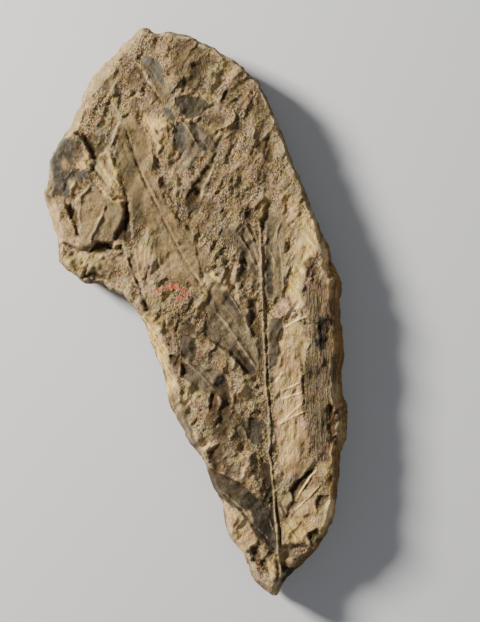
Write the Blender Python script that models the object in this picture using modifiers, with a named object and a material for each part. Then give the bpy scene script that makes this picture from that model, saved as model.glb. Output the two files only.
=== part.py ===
# Fossil fern plate: a loose slab of grey-brown siltstone, split along its bedding, fossil face up.
# One stone, so one solid. Metres, +Z up, +Y towards the broad end, origin under the middle of its box.
# Places are written in millimetres and turned into metres when the mesh is made.

import bpy
import bmesh
import numpy as np
from mathutils import Vector, noise

# ---- driving dimensions, in millimetres ----
MM = 0.001
SLAB_HEIGHT = 20.0        # block that the stone is shaped from
FACE_HEIGHT = 16.8        # main bedding face above the surface it rests on
VOXEL = 0.85              # spacing of the mesh while it is shaped
TRIANGLES = 9000          # what is left after decimation
REST_CUT = 0.35           # thickness planed off underneath, so that the rest face is truly flat
RESIDUE = 0.0001          # merge distance, metres

ROCK_SWELL = 0.55         # broad waves of the bedding face
ROCK_LUMP = 0.55          # lumps a few millimetres across
ROCK_GRAIN = 0.2          # rough grain of the broken siltstone
RAGGED_EDGE = 0.7         # how far the edges of beds and leaves wander from their outlines
WALL_RECESS = 1.5         # depth of the bedding steps in the broken sides
WALL_REACH = 5.0          # how far in from the outline those steps are felt
BED_SPACING = 2.6         # thickness of one bed in the sides
UNDERCUT_WIDTH = 9.0      # the underside curls up over this distance from the outline
UNDERCUT_RISE = 4.6       # and by this much
FLAKE_DEPTH = 1.3         # shallow scars on the underside

SEED_SWELL = Vector((3.1, 7.7, 0.4))
SEED_LUMP = Vector((11.3, 2.9, 5.2))
SEED_GRAIN = Vector((5.9, 17.1, 8.8))
SEED_RAGGED_X = Vector((31.3, 6.1, 2.2))
SEED_RAGGED_Y = Vector((2.7, 41.9, 9.4))
SEED_BED = Vector((21.7, 4.3, 1.6))
SEED_UNDER = Vector((8.2, 13.5, 27.4))

STONE_COLOUR = (0.27, 0.205, 0.13, 1.0)
STONE_ROUGHNESS = 0.88

# Outline seen from above, clockwise from the upper left.
OUTLINE = [
    (-20, 90.2), (-17.6, 92.1), (-15.5, 92.1), (-14.1, 90.7), (-12, 90.2), (-9, 90.9), (-5.8, 90), (-2.1, 89.4),
    (1.9, 87.2), (5.6, 85.6), (7.4, 84.2), (9, 82.9), (12, 82), (15.1, 79.5), (18, 76), (19.4, 75.7),
    (20.4, 74.7), (23, 69.1), (24.1, 66.9), (24.9, 63.9), (26.4, 61.8), (28, 57), (29.6, 52), (31.6, 47.5),
    (33.1, 45.1), (34.7, 40.3), (36.8, 34.8), (39.2, 29.8), (40.9, 25), (43.1, 21), (43.8, 16.3), (46.9, 11.6),
    (47.3, 9.7), (47.3, 6.3), (46.5, 2.5), (46.9, -2.5), (48.2, -9.5), (47.9, -14.4), (46.9, -20), (48, -27.7),
    (49.1, -29.3), (49.4, -33.8), (49.2, -39.1), (48.7, -41.8), (46.5, -46.2), (46.4, -48), (47.1, -52.3),
    (46, -57.3), (45.1, -62.9), (44.5, -67.9), (42.3, -72.3), (38.3, -77.8), (33.4, -82.9), (30.2, -86.1),
    (27.5, -89.2), (27.5, -90.2), (26.7, -91.7), (25.8, -92.1), (24.9, -91.8), (22.2, -90), (19, -86.6),
    (16.9, -81.9), (15.5, -78), (12.9, -74.5), (11.5, -73.4), (10.3, -71.1), (9, -64.2), (9, -61.8),
    (5.9, -56.9), (4.4, -52.6), (2.9, -48.5), (0, -44.2), (-2.7, -41.5), (-4.8, -36.7), (-7.9, -30.4),
    (-9.4, -26.4), (-10.3, -19.4), (-12.2, -15.2), (-15, -8.8), (-16.2, -3.6), (-18.8, 0.1), (-23, 5.1),
    (-25.4, 6), (-28.6, 7.9), (-30.2, 9.2), (-33.9, 9.9), (-35, 9.1), (-38.7, 11.6), (-43.7, 15.9),
    (-44.5, 17.5), (-44.6, 22.2), (-45, 25.4), (-46.2, 27.7), (-47.4, 31.9), (-49.4, 37.9), (-49.2, 39.9),
    (-47.5, 42), (-47.2, 46), (-47, 49.6), (-44.7, 53.7), (-42.2, 58.2), (-40.4, 60.1), (-38.9, 64),
    (-36.5, 70.6), (-35, 74.3), (-32.4, 78.1), (-30.2, 80.5), (-25.9, 83.6), (-24.9, 84.8), (-24.1, 86.3),
    (-22.5, 87.8),
]

# Broken rim, clockwise from the upper left: place, width of the slope seen from above, and its drop.
RIM = [
    (-17, 91, 1.6, 3.5), (-21, 88, 3.6, 5), (-25, 84, 4.6, 6.2), (-30, 80, 4.4, 6.2), (-34, 75, 3.4, 5.4),
    (-37, 69, 2.2, 4.2), (-39, 63.5, 2.4, 4.6), (-41.5, 59, 2.8, 5), (-44.5, 54, 1.2, 3.6), (-47, 48, 1, 4),
    (-49, 38.5, 3, 4.6), (-47, 31, 3.8, 5), (-45, 25, 2.5, 4), (-44.5, 19, 1.3, 3.2), (-40, 13, 1.5, 3),
    (-34, 9.5, 1.4, 3), (-27, 7, 1.3, 3), (-22, 4, 1.5, 3), (-18, -1, 2, 4), (-15.5, -7, 4, 5.4),
    (-12, -15.5, 4.2, 5.4), (-10, -22, 4, 5), (-8, -30, 3.2, 4.8), (-5, -36, 2, 4), (-1, -43, 1.6, 3.6),
    (3, -49, 1.4, 3.2), (9, -63, 1.4, 3.2), (11, -72.5, 1.6, 3.2), (15.5, -78, 1.7, 3.6), (18, -85, 1.9, 4.2),
    (24, -91, 2.6, 5.2), (27, -90, 2.6, 6), (30.5, -86, 2.9, 7), (35, -81, 3, 7), (40, -75.5, 3, 6.4),
    (44, -69, 2.6, 6), (46, -57, 2.7, 6.6), (47, -50, 2.5, 7), (48.5, -42, 4.2, 7.4), (49.4, -34, 4.6, 8),
    (47.5, -25, 4.2, 7.8), (47.5, -15, 3.6, 7.4), (47, -3, 3.6, 7), (47.2, 8, 4.4, 7), (45, 14, 4.2, 6.4),
    (43.2, 20, 3.2, 6), (41, 25, 2.2, 5), (38, 32, 1.5, 4), (34, 42, 1.1, 3.2), (29, 54, 1, 3),
    (24.5, 65.5, 1.1, 3.2), (18, 76, 1.2, 3.2), (8, 83.8, 1.3, 3.4), (-4, 89.8, 1.3, 3.4), (-13, 90.4, 1.3, 3.4),
]

# Middle line of the plate: the sides are recessed towards it.
SPINE = [(-14, 62), (-8, 30), (12, -8), (24, -45), (27, -72)]

# Areas that stand above (+) or lie below (-) the main face: height, width of the slope at the edge, outline.
LEVELS = {
    "rough upper left": (-0.9, 1.2, [
        (-18.5, 87), (-23, 82), (-27, 77.5), (-31, 72), (-35.5, 68), (-36.5, 62), (-37.5, 57.5), (-34.5, 54),
        (-31.5, 49.5), (-29, 52), (-26.5, 57), (-24.8, 62), (-26.5, 67), (-27, 73), (-21, 81)]),
    "left leaf ledge": (2.3, 0.8, [
        (-43, 57), (-45.5, 52.5), (-46.5, 46.5), (-46.3, 40.5), (-45.2, 37.5), (-42, 35.5), (-40.6, 38.5),
        (-40.2, 42), (-37.5, 43.2), (-35.4, 44), (-35.6, 47), (-36.4, 51), (-38.2, 55), (-40, 58)]),
    "shadow wedge": (-1.6, 0.9, [(-37.6, 57), (-34.5, 56), (-31.8, 50), (-33.2, 49.6), (-34.6, 52), (-36, 54.5)]),
    "streaky block": (0.9, 0.8, [
        (-29.5, 52), (-26.8, 51.5), (-25.6, 46), (-24, 41), (-22.5, 36.4), (-25.5, 36), (-28.5, 37),
        (-31, 40.5), (-35, 44.5), (-32.5, 48.5)]),
    "tan leaf": (0.5, 0.9, [
        (-36.6, 38), (-33, 41), (-29.8, 39), (-27.3, 36.6), (-24.6, 36), (-23.8, 31), (-25, 27.5), (-27.4, 23),
        (-32, 22.4), (-37.4, 21), (-38, 27), (-37, 33)]),
    "cavity": (-3.2, 0.9, [
        (-23.9, 35.2), (-21.8, 35.4), (-21, 30), (-20.6, 24), (-23.5, 22.6), (-26.6, 23.4), (-24.3, 28.5)]),
    "left hollow": (-2.2, 0.8, [
        (-41.4, 35), (-40.4, 32), (-39, 29.8), (-37.4, 25), (-36.9, 22.6), (-37.9, 23), (-39, 27.2), (-41.5, 30)]),
    "lower flange": (-3.4, 1.4, [
        (-46, 23.5), (-42, 22.6), (-39, 21.2), (-36.5, 20.2), (-34.6, 21.6), (-32, 22.3), (-29, 22.2), (-26.6, 21.2),
        (-23.4, 21.6), (-21.4, 15), (-18.4, 6.4), (-15, 0.5), (-18, -2), (-26, 4), (-36, 7), (-46, 15)]),
    "flange foot": (1.2, 6.0, [(-22.5, 22), (-13, 24), (-10, 8), (-14, -4), (-24, 2)]),
    "blade": (0.45, 0.7, [
        (-24.8, 60), (-26.2, 51), (-25.2, 45), (-22.5, 38), (-20, 31), (-16, 27), (-12.5, 18), (-9.5, 11),
        (-4, 9.4), (3, 8.4), (0.4, 20), (0, 25), (-7.4, 32), (-8, 36), (-12.4, 44.5), (-14, 56), (-19, 62)]),
    "trough": (-2.7, 0.9, [
        (-4.9, 33), (-4, 36.4), (-1, 41.4), (2.5, 45.2), (4.6, 47.8), (5.6, 47), (3.2, 42.6), (1.6, 38),
        (1.2, 35.8), (-0.6, 35), (-1.6, 32.8), (-3.2, 31.3)]),
    "blade pit": (-1.1, 0.7, [(-12, 41), (-10, 43.4), (-8.9, 40), (-9.2, 36.6), (-10.2, 35.8)]),
    "tip leaf": (-0.6, 0.7, [
        (-17.6, 81.4), (-14.6, 82.8), (-11.4, 80.8), (-10, 76), (-11, 69.4), (-14.6, 73), (-18.4, 79.6)]),
    "upper right pinnule": (-0.8, 0.7, [
        (-7, 70.2), (0.4, 70), (3, 69), (4.1, 65.4), (1, 62.6), (-3, 62), (-6.8, 66.5)]),
    "middle left pinnule": (0.6, 0.7, [(-10.4, 66.2), (-6.4, 64.4), (-5.4, 61.2), (-8.2, 60.6), (-10.2, 62)]),
    "lower left pinnule": (-0.5, 0.7, [
        (-7.6, 60.3), (-3.6, 60.2), (-0.8, 54.6), (0.6, 51.6), (-3.6, 50.4), (-6.8, 52), (-8.2, 57.5)]),
    "lower right pinnule": (-0.7, 0.6, [
        (-2.8, 60.6), (0.6, 59.4), (4, 54), (8.2, 52), (2, 51.6), (-1, 57)]),
    "hollow at the top": (-1.6, 0.8, [(-5, 71.4), (-3, 75.2), (1.4, 80.4), (1.7, 77), (-1.6, 72.4)]),
    "lobe": (0.9, 0.8, [(7.6, 58.6), (13, 60.2), (12.8, 66), (10, 70), (8.2, 66)]),
    "olive hollow": (-1.6, 0.9, [(20.2, 56), (21.6, 58.8), (23.6, 52), (22.6, 46.6), (21.6, 50)]),
    "slot": (-1.4, 0.7, [(15.3, 34.4), (17.8, 35), (18.5, 28), (16.8, 28)]),
    "upper leaf": (-0.9, 0.8, [
        (5.2, 9.3), (9.6, 7.8), (12.2, 2.4), (14.8, -2.6), (18.8, -9.2), (20.2, -19.8), (17.4, -20.2),
        (14, -15.4), (9.8, -10.8), (3, -7.2), (4, 1)]),
    "dome": (1.4, 1.4, [
        (0.8, -10.2), (7, -10.6), (10.2, -12.2), (15.2, -18), (16.6, -25), (12, -28.4), (9, -21), (2, -15)]),
    "trough by the rachis": (-1.6, 0.8, [(17, 2.2), (19.1, 2.2), (21.2, -8), (20.6, -13), (18.6, -8)]),
    "bumpy ground": (0.6, 2.0, [(4, 20.5), (15, 19.5), (15.5, 9), (8, 8.6), (4.5, 11)]),
    "olive leaf, left": (-1.1, 0.7, [(-5, -7.6), (-0.8, -8.6), (-0.6, -13.4), (-2, -15.2), (-5, -13)]),
    "purple hollow": (-1.3, 0.7, [(-8.1, -13.2), (-5.3, -13.3), (-4.7, -18), (-7.6, -18.8)]),
    "small hollow": (-1.6, 0.6, [(-4.5, -16.6), (-2.4, -17), (-2.7, -19.5), (-4.6, -19.6)]),
    "olive leaf": (-0.7, 0.7, [
        (-4.2, -20.2), (3.6, -17.3), (10.1, -22.8), (11.2, -29.2), (5, -25.2), (-1, -24.2), (-3.4, -22)]),
    "hollow, left": (-2.0, 0.7, [(4.8, -26.3), (7.2, -26.4), (6.6, -30.8), (4.6, -31.2)]),
    "hollow, right": (-2.0, 0.7, [(8.2, -28.3), (11.3, -29.4), (10.8, -32.8), (9.6, -36.2), (6.6, -36.2)]),
    "dark leaf": (-0.8, 0.7, [(17, -40.2), (18, -35.2), (19.6, -34.4), (21.2, -37), (21.2, -40.2)]),
    "hollow at the edge": (-1.9, 0.8, [(4.2, -46.2), (8, -43.8), (9.1, -42), (8.2, -48), (4.6, -49.4)]),
    "mound": (1.0, 3.0, [(8, -44), (17.5, -45), (19.5, -55), (14, -54.6), (8.4, -51)]),
    "lower leaf": (-1.9, 0.9, [
        (4.4, -50.4), (11, -52.3), (18, -57.2), (24.2, -59.8), (25, -66), (26, -74.6), (24, -77.2),
        (21.6, -74.8), (18.2, -71.4), (18.2, -69), (19.2, -66.6), (13.8, -61.4), (9, -56.4), (5.2, -55)]),
    "brown strip": (-1.3, 0.7, [(18.7, -46.8), (22.5, -48.2), (24.4, -54), (24.3, -58.6), (20.2, -57.4)]),
    "recess": (-1.2, 0.7, [(13.2, -65.8), (15.9, -64.8), (15.6, -68.8), (14.3, -69.2)]),
    "purple patch": (-0.6, 0.6, [(35, 16.6), (38.7, 18.8), (39, 11), (36, 11.4)]),
    "charcoal patch": (0.5, 0.7, [(38, -2.6), (42.3, 0.2), (43, -10), (40.5, -12.3), (38, -8)]),
    "notch": (-3.4, 0.9, [
        (29.8, -56.6), (34, -51.8), (37.2, -50.8), (35.2, -54.6), (33, -58.8), (31, -59.4)]),
    "wedge": (-1.9, 0.8, [(33.6, -60.3), (31, -60.8), (29.8, -65.4)]),
    "hole": (-3.0, 0.8, [(38.8, -58.3), (43, -58.6), (41.6, -60.2), (40.4, -63.2), (39.5, -61.6)]),
    "overhang": (-2.2, 0.8, [(36.2, -71.6), (39, -70), (40.8, -73.6), (38, -75.4)]),
    "rough lower right": (-1.4, 2.0, [(27.6, -75), (36, -74.5), (38, -78), (30, -86), (27.8, -82)]),
    "tip hollow, left": (-2.0, 0.8, [(17, -75.4), (18.6, -75), (21.2, -79), (19.8, -80.8), (18.3, -79)]),
    "tip hollow, right": (-1.8, 0.7, [(21.8, -80.8), (23.6, -83.6), (22.4, -86)]),
    "right shelf hollow": (-1.8, 1.4, [(43, -29), (45.8, -31), (45.5, -43), (43, -41)]),
    "pale smooth top": (-0.5, 1.2, [(29, 20), (33.2, 30), (36, 28), (35, 18), (33.8, 7), (29, 5)]),
    "striated strip": (-0.7, 0.7, [
        (34.2, 9), (36, 0), (37, -10), (34.8, -17), (34.7, -29), (36.2, -40), (39.5, -48), (48, -46),
        (47, -20), (48, -8), (45, 8), (39, 12)]),
}

# Edges where the bed on the right of the line, walking along it, stands higher: height, reach, route.
SCARPS = {
    "upper ledge": (1.0, 7.0, [(-31.5, 49), (-27.5, 54.5), (-25, 60), (-25, 65), (-28.5, 69.5), (-24, 77)]),
    "lobe edge": (0.8, 3.0, [(14, 60), (11.5, 59.8), (7.8, 58.3), (4.5, 56.5)]),
    "dome edge": (0.7, 3.0, [(15, -18.6), (13, -15.7), (9.8, -12), (3.5, -8.4)]),
    "flange crack": (-1.3, 5.0, [(-14.3, 0), (-16.6, 3.5), (-18.8, 9.5), (-20.8, 15), (-21.7, 18.5)]),
}

# Ribs, veins and cracks: height (negative for a groove), half width, route.
LINES = {
    "rachis": (0.95, 0.65, [
        (20.4, 30), (20.8, 24), (21.1, 15), (21.6, 2), (22.1, -10), (22.6, -22), (23.3, -30), (23.9, -38),
        (23.6, -45), (24.6, -54), (25.4, -64), (26.3, -73), (27.4, -84)]),
    "rachis groove": (-1.6, 0.6, [
        (21.9, 27), (22.1, 12), (22.8, -5), (23.4, -24), (24.5, -34), (24.4, -42), (25.3, -54), (26.5, -64),
        (27.5, -74)]),
    "frond axis": (0.6, 0.6, [(-19.5, 82), (-15, 74.5), (-9.5, 67.8), (-4.5, 61.5), (-0.8, 55.5), (1.2, 52)]),
    "frond axis groove": (-0.7, 0.5, [(-20.4, 81.4), (-15.9, 74), (-10.3, 67), (-5.4, 60.8), (-1.8, 55)]),
    "blade midrib groove": (-0.9, 0.55, [
        (-22.8, 60), (-20.2, 52), (-17, 44), (-11.8, 32.5), (-7.5, 25), (-4, 17), (0.3, 11), (2.5, 8)]),
    "blade midrib": (0.6, 0.6, [
        (-21.6, 60), (-19, 52), (-15.8, 44.3), (-10.6, 32.8), (-6.3, 25.3), (-2.8, 17.4), (1.4, 11.6)]),
    "blade side vein": (0.3, 0.5, [(-15, 41), (-11, 34.5), (-8, 31.5)]),
    "tan leaf rib": (0.6, 0.7, [(-28, 36), (-30.3, 30.5), (-32.6, 25.5), (-35, 21.5)]),
    "tan leaf groove": (-0.7, 0.5, [(-29, 36.2), (-31.3, 30.8), (-33.6, 25.8), (-36, 22)]),
    "left leaf crack": (-0.8, 0.5, [(-38.8, 46.4), (-40.2, 44.5), (-41.2, 42), (-42.6, 37)]),
    "upper leaf midrib": (0.6, 0.6, [(5.5, 0.5), (9.5, -4), (15, -10.5), (17, -14), (20, -18)]),
    "upper leaf crack": (-0.9, 0.5, [(3.5, -8), (8, -10.5)]),
    "olive leaf rib": (0.4, 0.5, [(-4.8, -14), (0.5, -18.5), (2, -20.5)]),
    "olive leaf vein": (-0.6, 0.5, [(2.7, -18), (5, -22.5), (6.5, -25)]),
    "lower leaf rib": (0.6, 0.6, [(11, -57.5), (13.8, -60), (16.5, -63)]),
    "lower leaf edge": (0.6, 0.5, [(20.5, -60), (22.5, -65), (23.2, -71)]),
    "fan vein, long": (0.7, 0.6, [(14.8, 29), (18.2, 22.5), (20, 17), (20.8, 12)]),
    "fan vein, inner": (0.5, 0.5, [(14.5, 22), (17.5, 17.5), (20.2, 13)]),
    "fan groove": (-0.9, 0.5, [(16.3, 25.2), (18.3, 21), (19.9, 15)]),
    "right vein": (0.7, 0.6, [(27.5, 28.5), (26.2, 24), (26.6, 18), (27.6, 9)]),
    "right vein groove": (-1.1, 0.5, [(26.3, 24.5), (27.4, 17), (28.1, 6.5)]),
    "right oblique groove": (-0.7, 0.5, [(32.5, 20), (29.8, 15.8), (28.8, 13)]),
    "hollow rim": (0.9, 0.8, [(5.8, 46.4), (4.5, 43), (2.6, 37), (2.2, 34.6)]),
    "pale ridge, blade": (0.7, 1.1, [(-6.8, 47), (-5.8, 40), (-7, 31.5)]),
    "pale ridge, middle": (0.8, 0.9, [(12.6, 17), (13.4, 5), (16, -2), (18, -7)]),
    "cream rim": (0.8, 0.8, [(6, 13.5), (8, 9.8), (9.6, 9)]),
    "middle trough": (-1.2, 0.7, [(15.5, 18.5), (14.8, 12)]),
    "flange groove": (-1.5, 0.7, [(-21.7, 18.5), (-20, 12), (-17.8, 6.5), (-14.3, 0)]),
    "flange ridge": (0.7, 0.7, [(-19.5, 20.5), (-18, 12), (-15, 3)]),
    "edge ridge": (0.9, 0.8, [(2.5, -45), (4, -43.8), (6.5, -42)]),
    "band line": (0.5, 0.9, [(-12.4, -3), (-9, -13), (-6, -22), (-4.4, -31), (2.2, -44)]),
    "strip step": (-0.9, 0.6, [(33.5, -12), (34.4, -18), (34.6, -26)]),
    "strip slit": (-1.1, 0.5, [(32.7, -17.5), (33, -22)]),
    "strip furrow, left": (-0.5, 0.6, [(37.5, -14), (37.3, -30), (38.6, -44)]),
    "strip furrow, right": (-0.5, 0.6, [(41.6, -13), (41.8, -30), (41.6, -44)]),
    "strip furrow, top": (-0.4, 0.6, [(39.5, 10), (39.8, 1)]),
    "lower slit": (-1.4, 0.5, [(26.8, -60), (29.5, -66)]),
    "facet rim": (0.8, 0.7, [(41.5, -60), (42.5, -64.6)]),
    "notch rim, upper": (0.6, 0.7, [(39.5, -49.8), (35.8, -54.2), (33.4, -58.8)]),
    "notch rim, lower": (0.6, 0.7, [(40, -54.5), (35.2, -60), (31.3, -64.5)]),
    "tip slit": (-1.3, 0.5, [(26.6, -81), (26.4, -85)]),
    "tip rib": (0.7, 1.0, [(24, -79), (25.4, -84), (25.4, -90)]),
}

# Round lumps: centre, radius, height.
LUMPS = [
    (-6.5, 73.5, 1.6, 0.9), (-9.5, 84.5, 1.8, 0.6), (8.5, 14.5, 1.7, 0.8), (12.8, 11.5, 1.6, 0.8),
    (6.6, 18.2, 1.5, 0.6), (39.5, -8, 2.0, 0.5), (5, -12.5, 2.2, 0.5), (-40.5, 15.5, 2.0, 0.9),
    (-33.5, 15, 1.8, 0.8), (-27.5, 13.2, 2.0, 0.7), (22, -77.5, 1.3, 0.7), (26, -87.5, 1.5, 0.6),
    (12.6, -48.6, 2.4, 0.5), (31, -79.5, 1.6, 0.8), (18.8, 44, 2.0, 0.5), (10, 37, 2.2, 0.5),
]


def smooth_step(values):
    """Ease from 0 to 1."""
    t = np.clip(values, 0.0, 1.0)
    return t * t * (3.0 - 2.0 * t)


def line_distance(xy, route):
    """Distance to an open route, the share of its length at the nearest point, and the side (+1 right)."""
    points = np.array(route, dtype=float)
    lengths = np.linalg.norm(np.diff(points, axis=0), axis=1)
    travelled = np.concatenate(([0.0], np.cumsum(lengths)))
    best = np.full(len(xy), np.inf)
    share = np.zeros(len(xy))
    side = np.ones(len(xy))
    for start, end, length, before in zip(points[:-1], points[1:], lengths, travelled):
        run = (end - start) / length
        offset = xy - start
        along = np.clip(offset @ run, 0.0, length)
        gap = np.linalg.norm(offset - along[:, None] * run, axis=1)
        nearer = gap < best
        best[nearer] = gap[nearer]
        share[nearer] = (before + along[nearer]) / travelled[-1]
        turn = run[1] * offset[nearer, 0] - run[0] * offset[nearer, 1]
        side[nearer] = np.sign(turn)
    return best, share, side, travelled[-1]


def area_distance(xy, corners):
    """Distance to a closed outline, positive inside."""
    points = np.array(corners, dtype=float)
    inside = np.zeros(len(xy), dtype=bool)
    best = np.full(len(xy), np.inf)
    for start, end in zip(points, np.roll(points, -1, axis=0)):
        run = end - start
        offset = xy - start
        along = np.clip(offset @ run / (run @ run), 0.0, 1.0)
        best = np.minimum(best, np.linalg.norm(offset - along[:, None] * run, axis=1))
        crosses = (start[1] > xy[:, 1]) != (end[1] > xy[:, 1])
        reach = start[0] + run[0] * (xy[:, 1] - start[1]) / (run[1] if run[1] else 1.0)
        inside ^= crosses & (xy[:, 0] < reach)
    return np.where(inside, best, -best)


def lumpy(xy, size, seed, octaves=3):
    """Seeded noise, about -1 to 1, with features of the given size in millimetres."""
    return np.array([noise.fractal(Vector((x, y, 0.0)) / size + seed, 0.9, 2.1, octaves) for x, y in xy])


def rim_values(xy):
    """Width and drop of the broken rim near each point, blended from the nearest places in RIM."""
    rim = np.array(RIM)
    gaps = np.linalg.norm(xy[:, None, :] - rim[None, :, :2], axis=2)
    weights = 1.0 / (gaps + 0.5) ** 3
    weights /= weights.sum(axis=1, keepdims=True)
    return weights @ rim[:, 2], weights @ rim[:, 3]


def top_height(xy, depth_in):
    """Height of the fossil face in millimetres; depth_in is the distance in from the outline."""
    height = np.full(len(xy), FACE_HEIGHT)
    height += ROCK_SWELL * lumpy(xy, 34.0, SEED_SWELL, 2)
    height += ROCK_LUMP * lumpy(xy, 7.5, SEED_LUMP)
    height += ROCK_GRAIN * lumpy(xy, 2.2, SEED_GRAIN, 2)
    wander = (lumpy(xy, 3.4, SEED_RAGGED_X, 2), lumpy(xy, 3.4, SEED_RAGGED_Y, 2))
    ragged = xy + RAGGED_EDGE * np.column_stack(wander)
    for level, soft, corners in LEVELS.values():
        height += level * smooth_step(area_distance(ragged, corners) / soft + 0.5)
    for step, reach, route in SCARPS.values():
        gap, share, side, length = line_distance(ragged, route)
        ends = smooth_step(np.minimum(share, 1.0 - share) * length / 2.0)
        edge = smooth_step(side * gap / 0.8 + 0.5)
        height += step * ends * edge * np.clip(1.0 - gap / reach, 0.0, 1.0)
    for rise, half_width, route in LINES.values():
        gap, share, _, length = line_distance(xy, route)
        ends = 0.3 + 0.7 * smooth_step(np.minimum(share, 1.0 - share) * length / 3.0)
        height += rise * ends * np.exp(-(gap / half_width) ** 2)
    for x, y, radius, rise in LUMPS:
        gap = np.linalg.norm(xy - (x, y), axis=1)
        height += rise * np.exp(-(gap / radius) ** 2)
    width, drop = rim_values(xy)
    width = width * (1.0 + 0.22 * lumpy(xy, 5.0, SEED_LUMP, 2))
    height -= drop * np.clip(1.0 - depth_in / width, 0.0, 1.0) ** 1.15
    return np.clip(height, 6.0, SLAB_HEIGHT)


def underside_height(xy, depth_in):
    """Height of the underside: flat where the stone rests, scarred by flakes and curled up at the edge."""
    scars = np.clip(lumpy(xy, 17.0, SEED_UNDER, 2) - 0.12, 0.0, 0.5) * 2.0 * FLAKE_DEPTH
    width = UNDERCUT_WIDTH * (1.0 + 0.45 * lumpy(xy, 14.0, SEED_UNDER, 2))
    curl = np.clip(1.0 - depth_in / width, 0.0, 1.0) ** 1.8 * UNDERCUT_RISE
    return np.maximum(scars, curl)


def wall_recess(points, depth_in):
    """Beds in the broken sides: a push towards the middle line, nil at the top edge and the underside."""
    push = np.zeros((len(points), 2))
    near = np.nonzero(depth_in < WALL_REACH)[0]
    spine = np.array(SPINE, dtype=float)
    for index in near:
        x, y, z, share = points[index]
        bed = noise.noise(Vector((x / 11.0, y / 11.0, z / BED_SPACING)) + SEED_BED)
        fine = noise.noise(Vector((x / 3.5, y / 3.5, z / 1.6)) + SEED_GRAIN)
        band = np.sin(np.pi * np.clip(share, 0.0, 1.0)) ** 0.5
        amount = WALL_RECESS * band * np.clip(0.55 + 0.9 * bed + 0.35 * fine, 0.0, 1.3)
        fade = 1.0 - max(depth_in[index], 0.0) / WALL_REACH
        goal = min((closest_on(spine, k, x, y) for k in range(len(spine) - 1)),
                   key=lambda p: (p[0] - x) ** 2 + (p[1] - y) ** 2)
        inward = Vector((goal[0] - x, goal[1] - y)).normalized()
        push[index] = inward * amount * fade
    return push


def closest_on(route, k, x, y):
    """Nearest point to (x, y) on stretch k of a route."""
    start = route[k]
    run = route[k + 1] - start
    along = np.clip(((x - start[0]) * run[0] + (y - start[1]) * run[1]) / (run @ run), 0.0, 1.0)
    return start + along * run


def clear_scene():
    """Remove every object of the open file."""
    for old in list(bpy.data.objects):
        bpy.data.objects.remove(old, do_unlink=True)


def stone_material():
    """Dull grey-brown siltstone."""
    material = bpy.data.materials.new("siltstone")
    material.use_nodes = True
    shader = material.node_tree.nodes["Principled BSDF"]
    shader.inputs["Base Color"].default_value = STONE_COLOUR
    shader.inputs["Roughness"].default_value = STONE_ROUGHNESS
    shader.inputs["Metallic"].default_value = 0.0
    return material


def evaluated_mesh(obj):
    """The object's mesh with its modifiers, as a new mesh."""
    graph = bpy.context.evaluated_depsgraph_get()
    return bpy.data.meshes.new_from_object(obj.evaluated_get(graph))


def slab_blank(collection):
    """A plain slab with the stone's outline: a filled flat curve, extruded, then remeshed evenly."""
    curve = bpy.data.curves.new("outline", "CURVE")
    curve.dimensions = "2D"
    curve.fill_mode = "BOTH"
    curve.extrude = SLAB_HEIGHT * MM / 2.0
    spline = curve.splines.new("POLY")
    spline.points.add(len(OUTLINE) - 1)
    for point, (x, y) in zip(spline.points, OUTLINE):
        point.co = (x * MM, y * MM, 0.0, 1.0)
    spline.use_cyclic_u = True
    drawn = bpy.data.objects.new("outline", curve)
    drawn.location.z = SLAB_HEIGHT * MM / 2.0
    collection.objects.link(drawn)
    bpy.context.view_layer.update()

    mesh = evaluated_mesh(drawn)
    mesh.transform(drawn.matrix_world)
    weld = bmesh.new()
    weld.from_mesh(mesh)
    bmesh.ops.remove_doubles(weld, verts=weld.verts, dist=RESIDUE / 10.0)
    bmesh.ops.recalc_face_normals(weld, faces=weld.faces)
    weld.to_mesh(mesh)
    weld.free()
    bpy.data.objects.remove(drawn, do_unlink=True)

    blank = bpy.data.objects.new("fossil_plate", mesh)
    collection.objects.link(blank)
    remesh = blank.modifiers.new("even mesh", "REMESH")
    remesh.mode = "VOXEL"
    remesh.voxel_size = VOXEL * MM
    bpy.context.view_layer.update()
    blank.data = evaluated_mesh(blank)
    blank.modifiers.clear()
    return blank


def shape_stone(stone):
    """Move the slab's points to the fossil face, the underside and the bedded sides."""
    mesh = stone.data
    flat = np.empty(len(mesh.vertices) * 3)
    mesh.vertices.foreach_get("co", flat)
    points = flat.reshape(-1, 3) / MM
    xy = points[:, :2]
    depth_in = area_distance(xy, OUTLINE)
    share = np.clip(points[:, 2] / SLAB_HEIGHT, 0.0, 1.0)
    top = top_height(xy, depth_in)
    under = underside_height(xy, depth_in) - REST_CUT
    points[:, 2] = under + (top - under) * share
    points[:, :2] += wall_recess(np.column_stack((points, share)), depth_in)
    mesh.vertices.foreach_set("co", (points * MM).ravel())
    mesh.update()


def thin_out(stone):
    """Decimate to the number of triangles that the solid keeps."""
    stone.data.calc_loop_triangles()
    thin = stone.modifiers.new("thin out", "DECIMATE")
    thin.ratio = TRIANGLES / len(stone.data.loop_triangles)
    bpy.context.view_layer.update()
    stone.data = evaluated_mesh(stone)
    stone.modifiers.clear()


def plane_rest_face(stone):
    """Cut the underside off flat at Z = 0 and close it, so the stone has a true face to rest on."""
    cut = bmesh.new()
    cut.from_mesh(stone.data)
    whole = cut.verts[:] + cut.edges[:] + cut.faces[:]
    sliced = bmesh.ops.bisect_plane(cut, geom=whole, plane_co=(0, 0, 0), plane_no=(0, 0, -1), clear_outer=True)
    rim = [part for part in sliced["geom_cut"] if isinstance(part, bmesh.types.BMEdge)]
    bmesh.ops.triangle_fill(cut, use_beauty=True, edges=rim, normal=(0, 0, -1))
    bmesh.ops.remove_doubles(cut, verts=cut.verts, dist=RESIDUE / 2.0)
    bmesh.ops.recalc_face_normals(cut, faces=cut.faces)
    cut.to_mesh(stone.data)
    cut.free()


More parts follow.
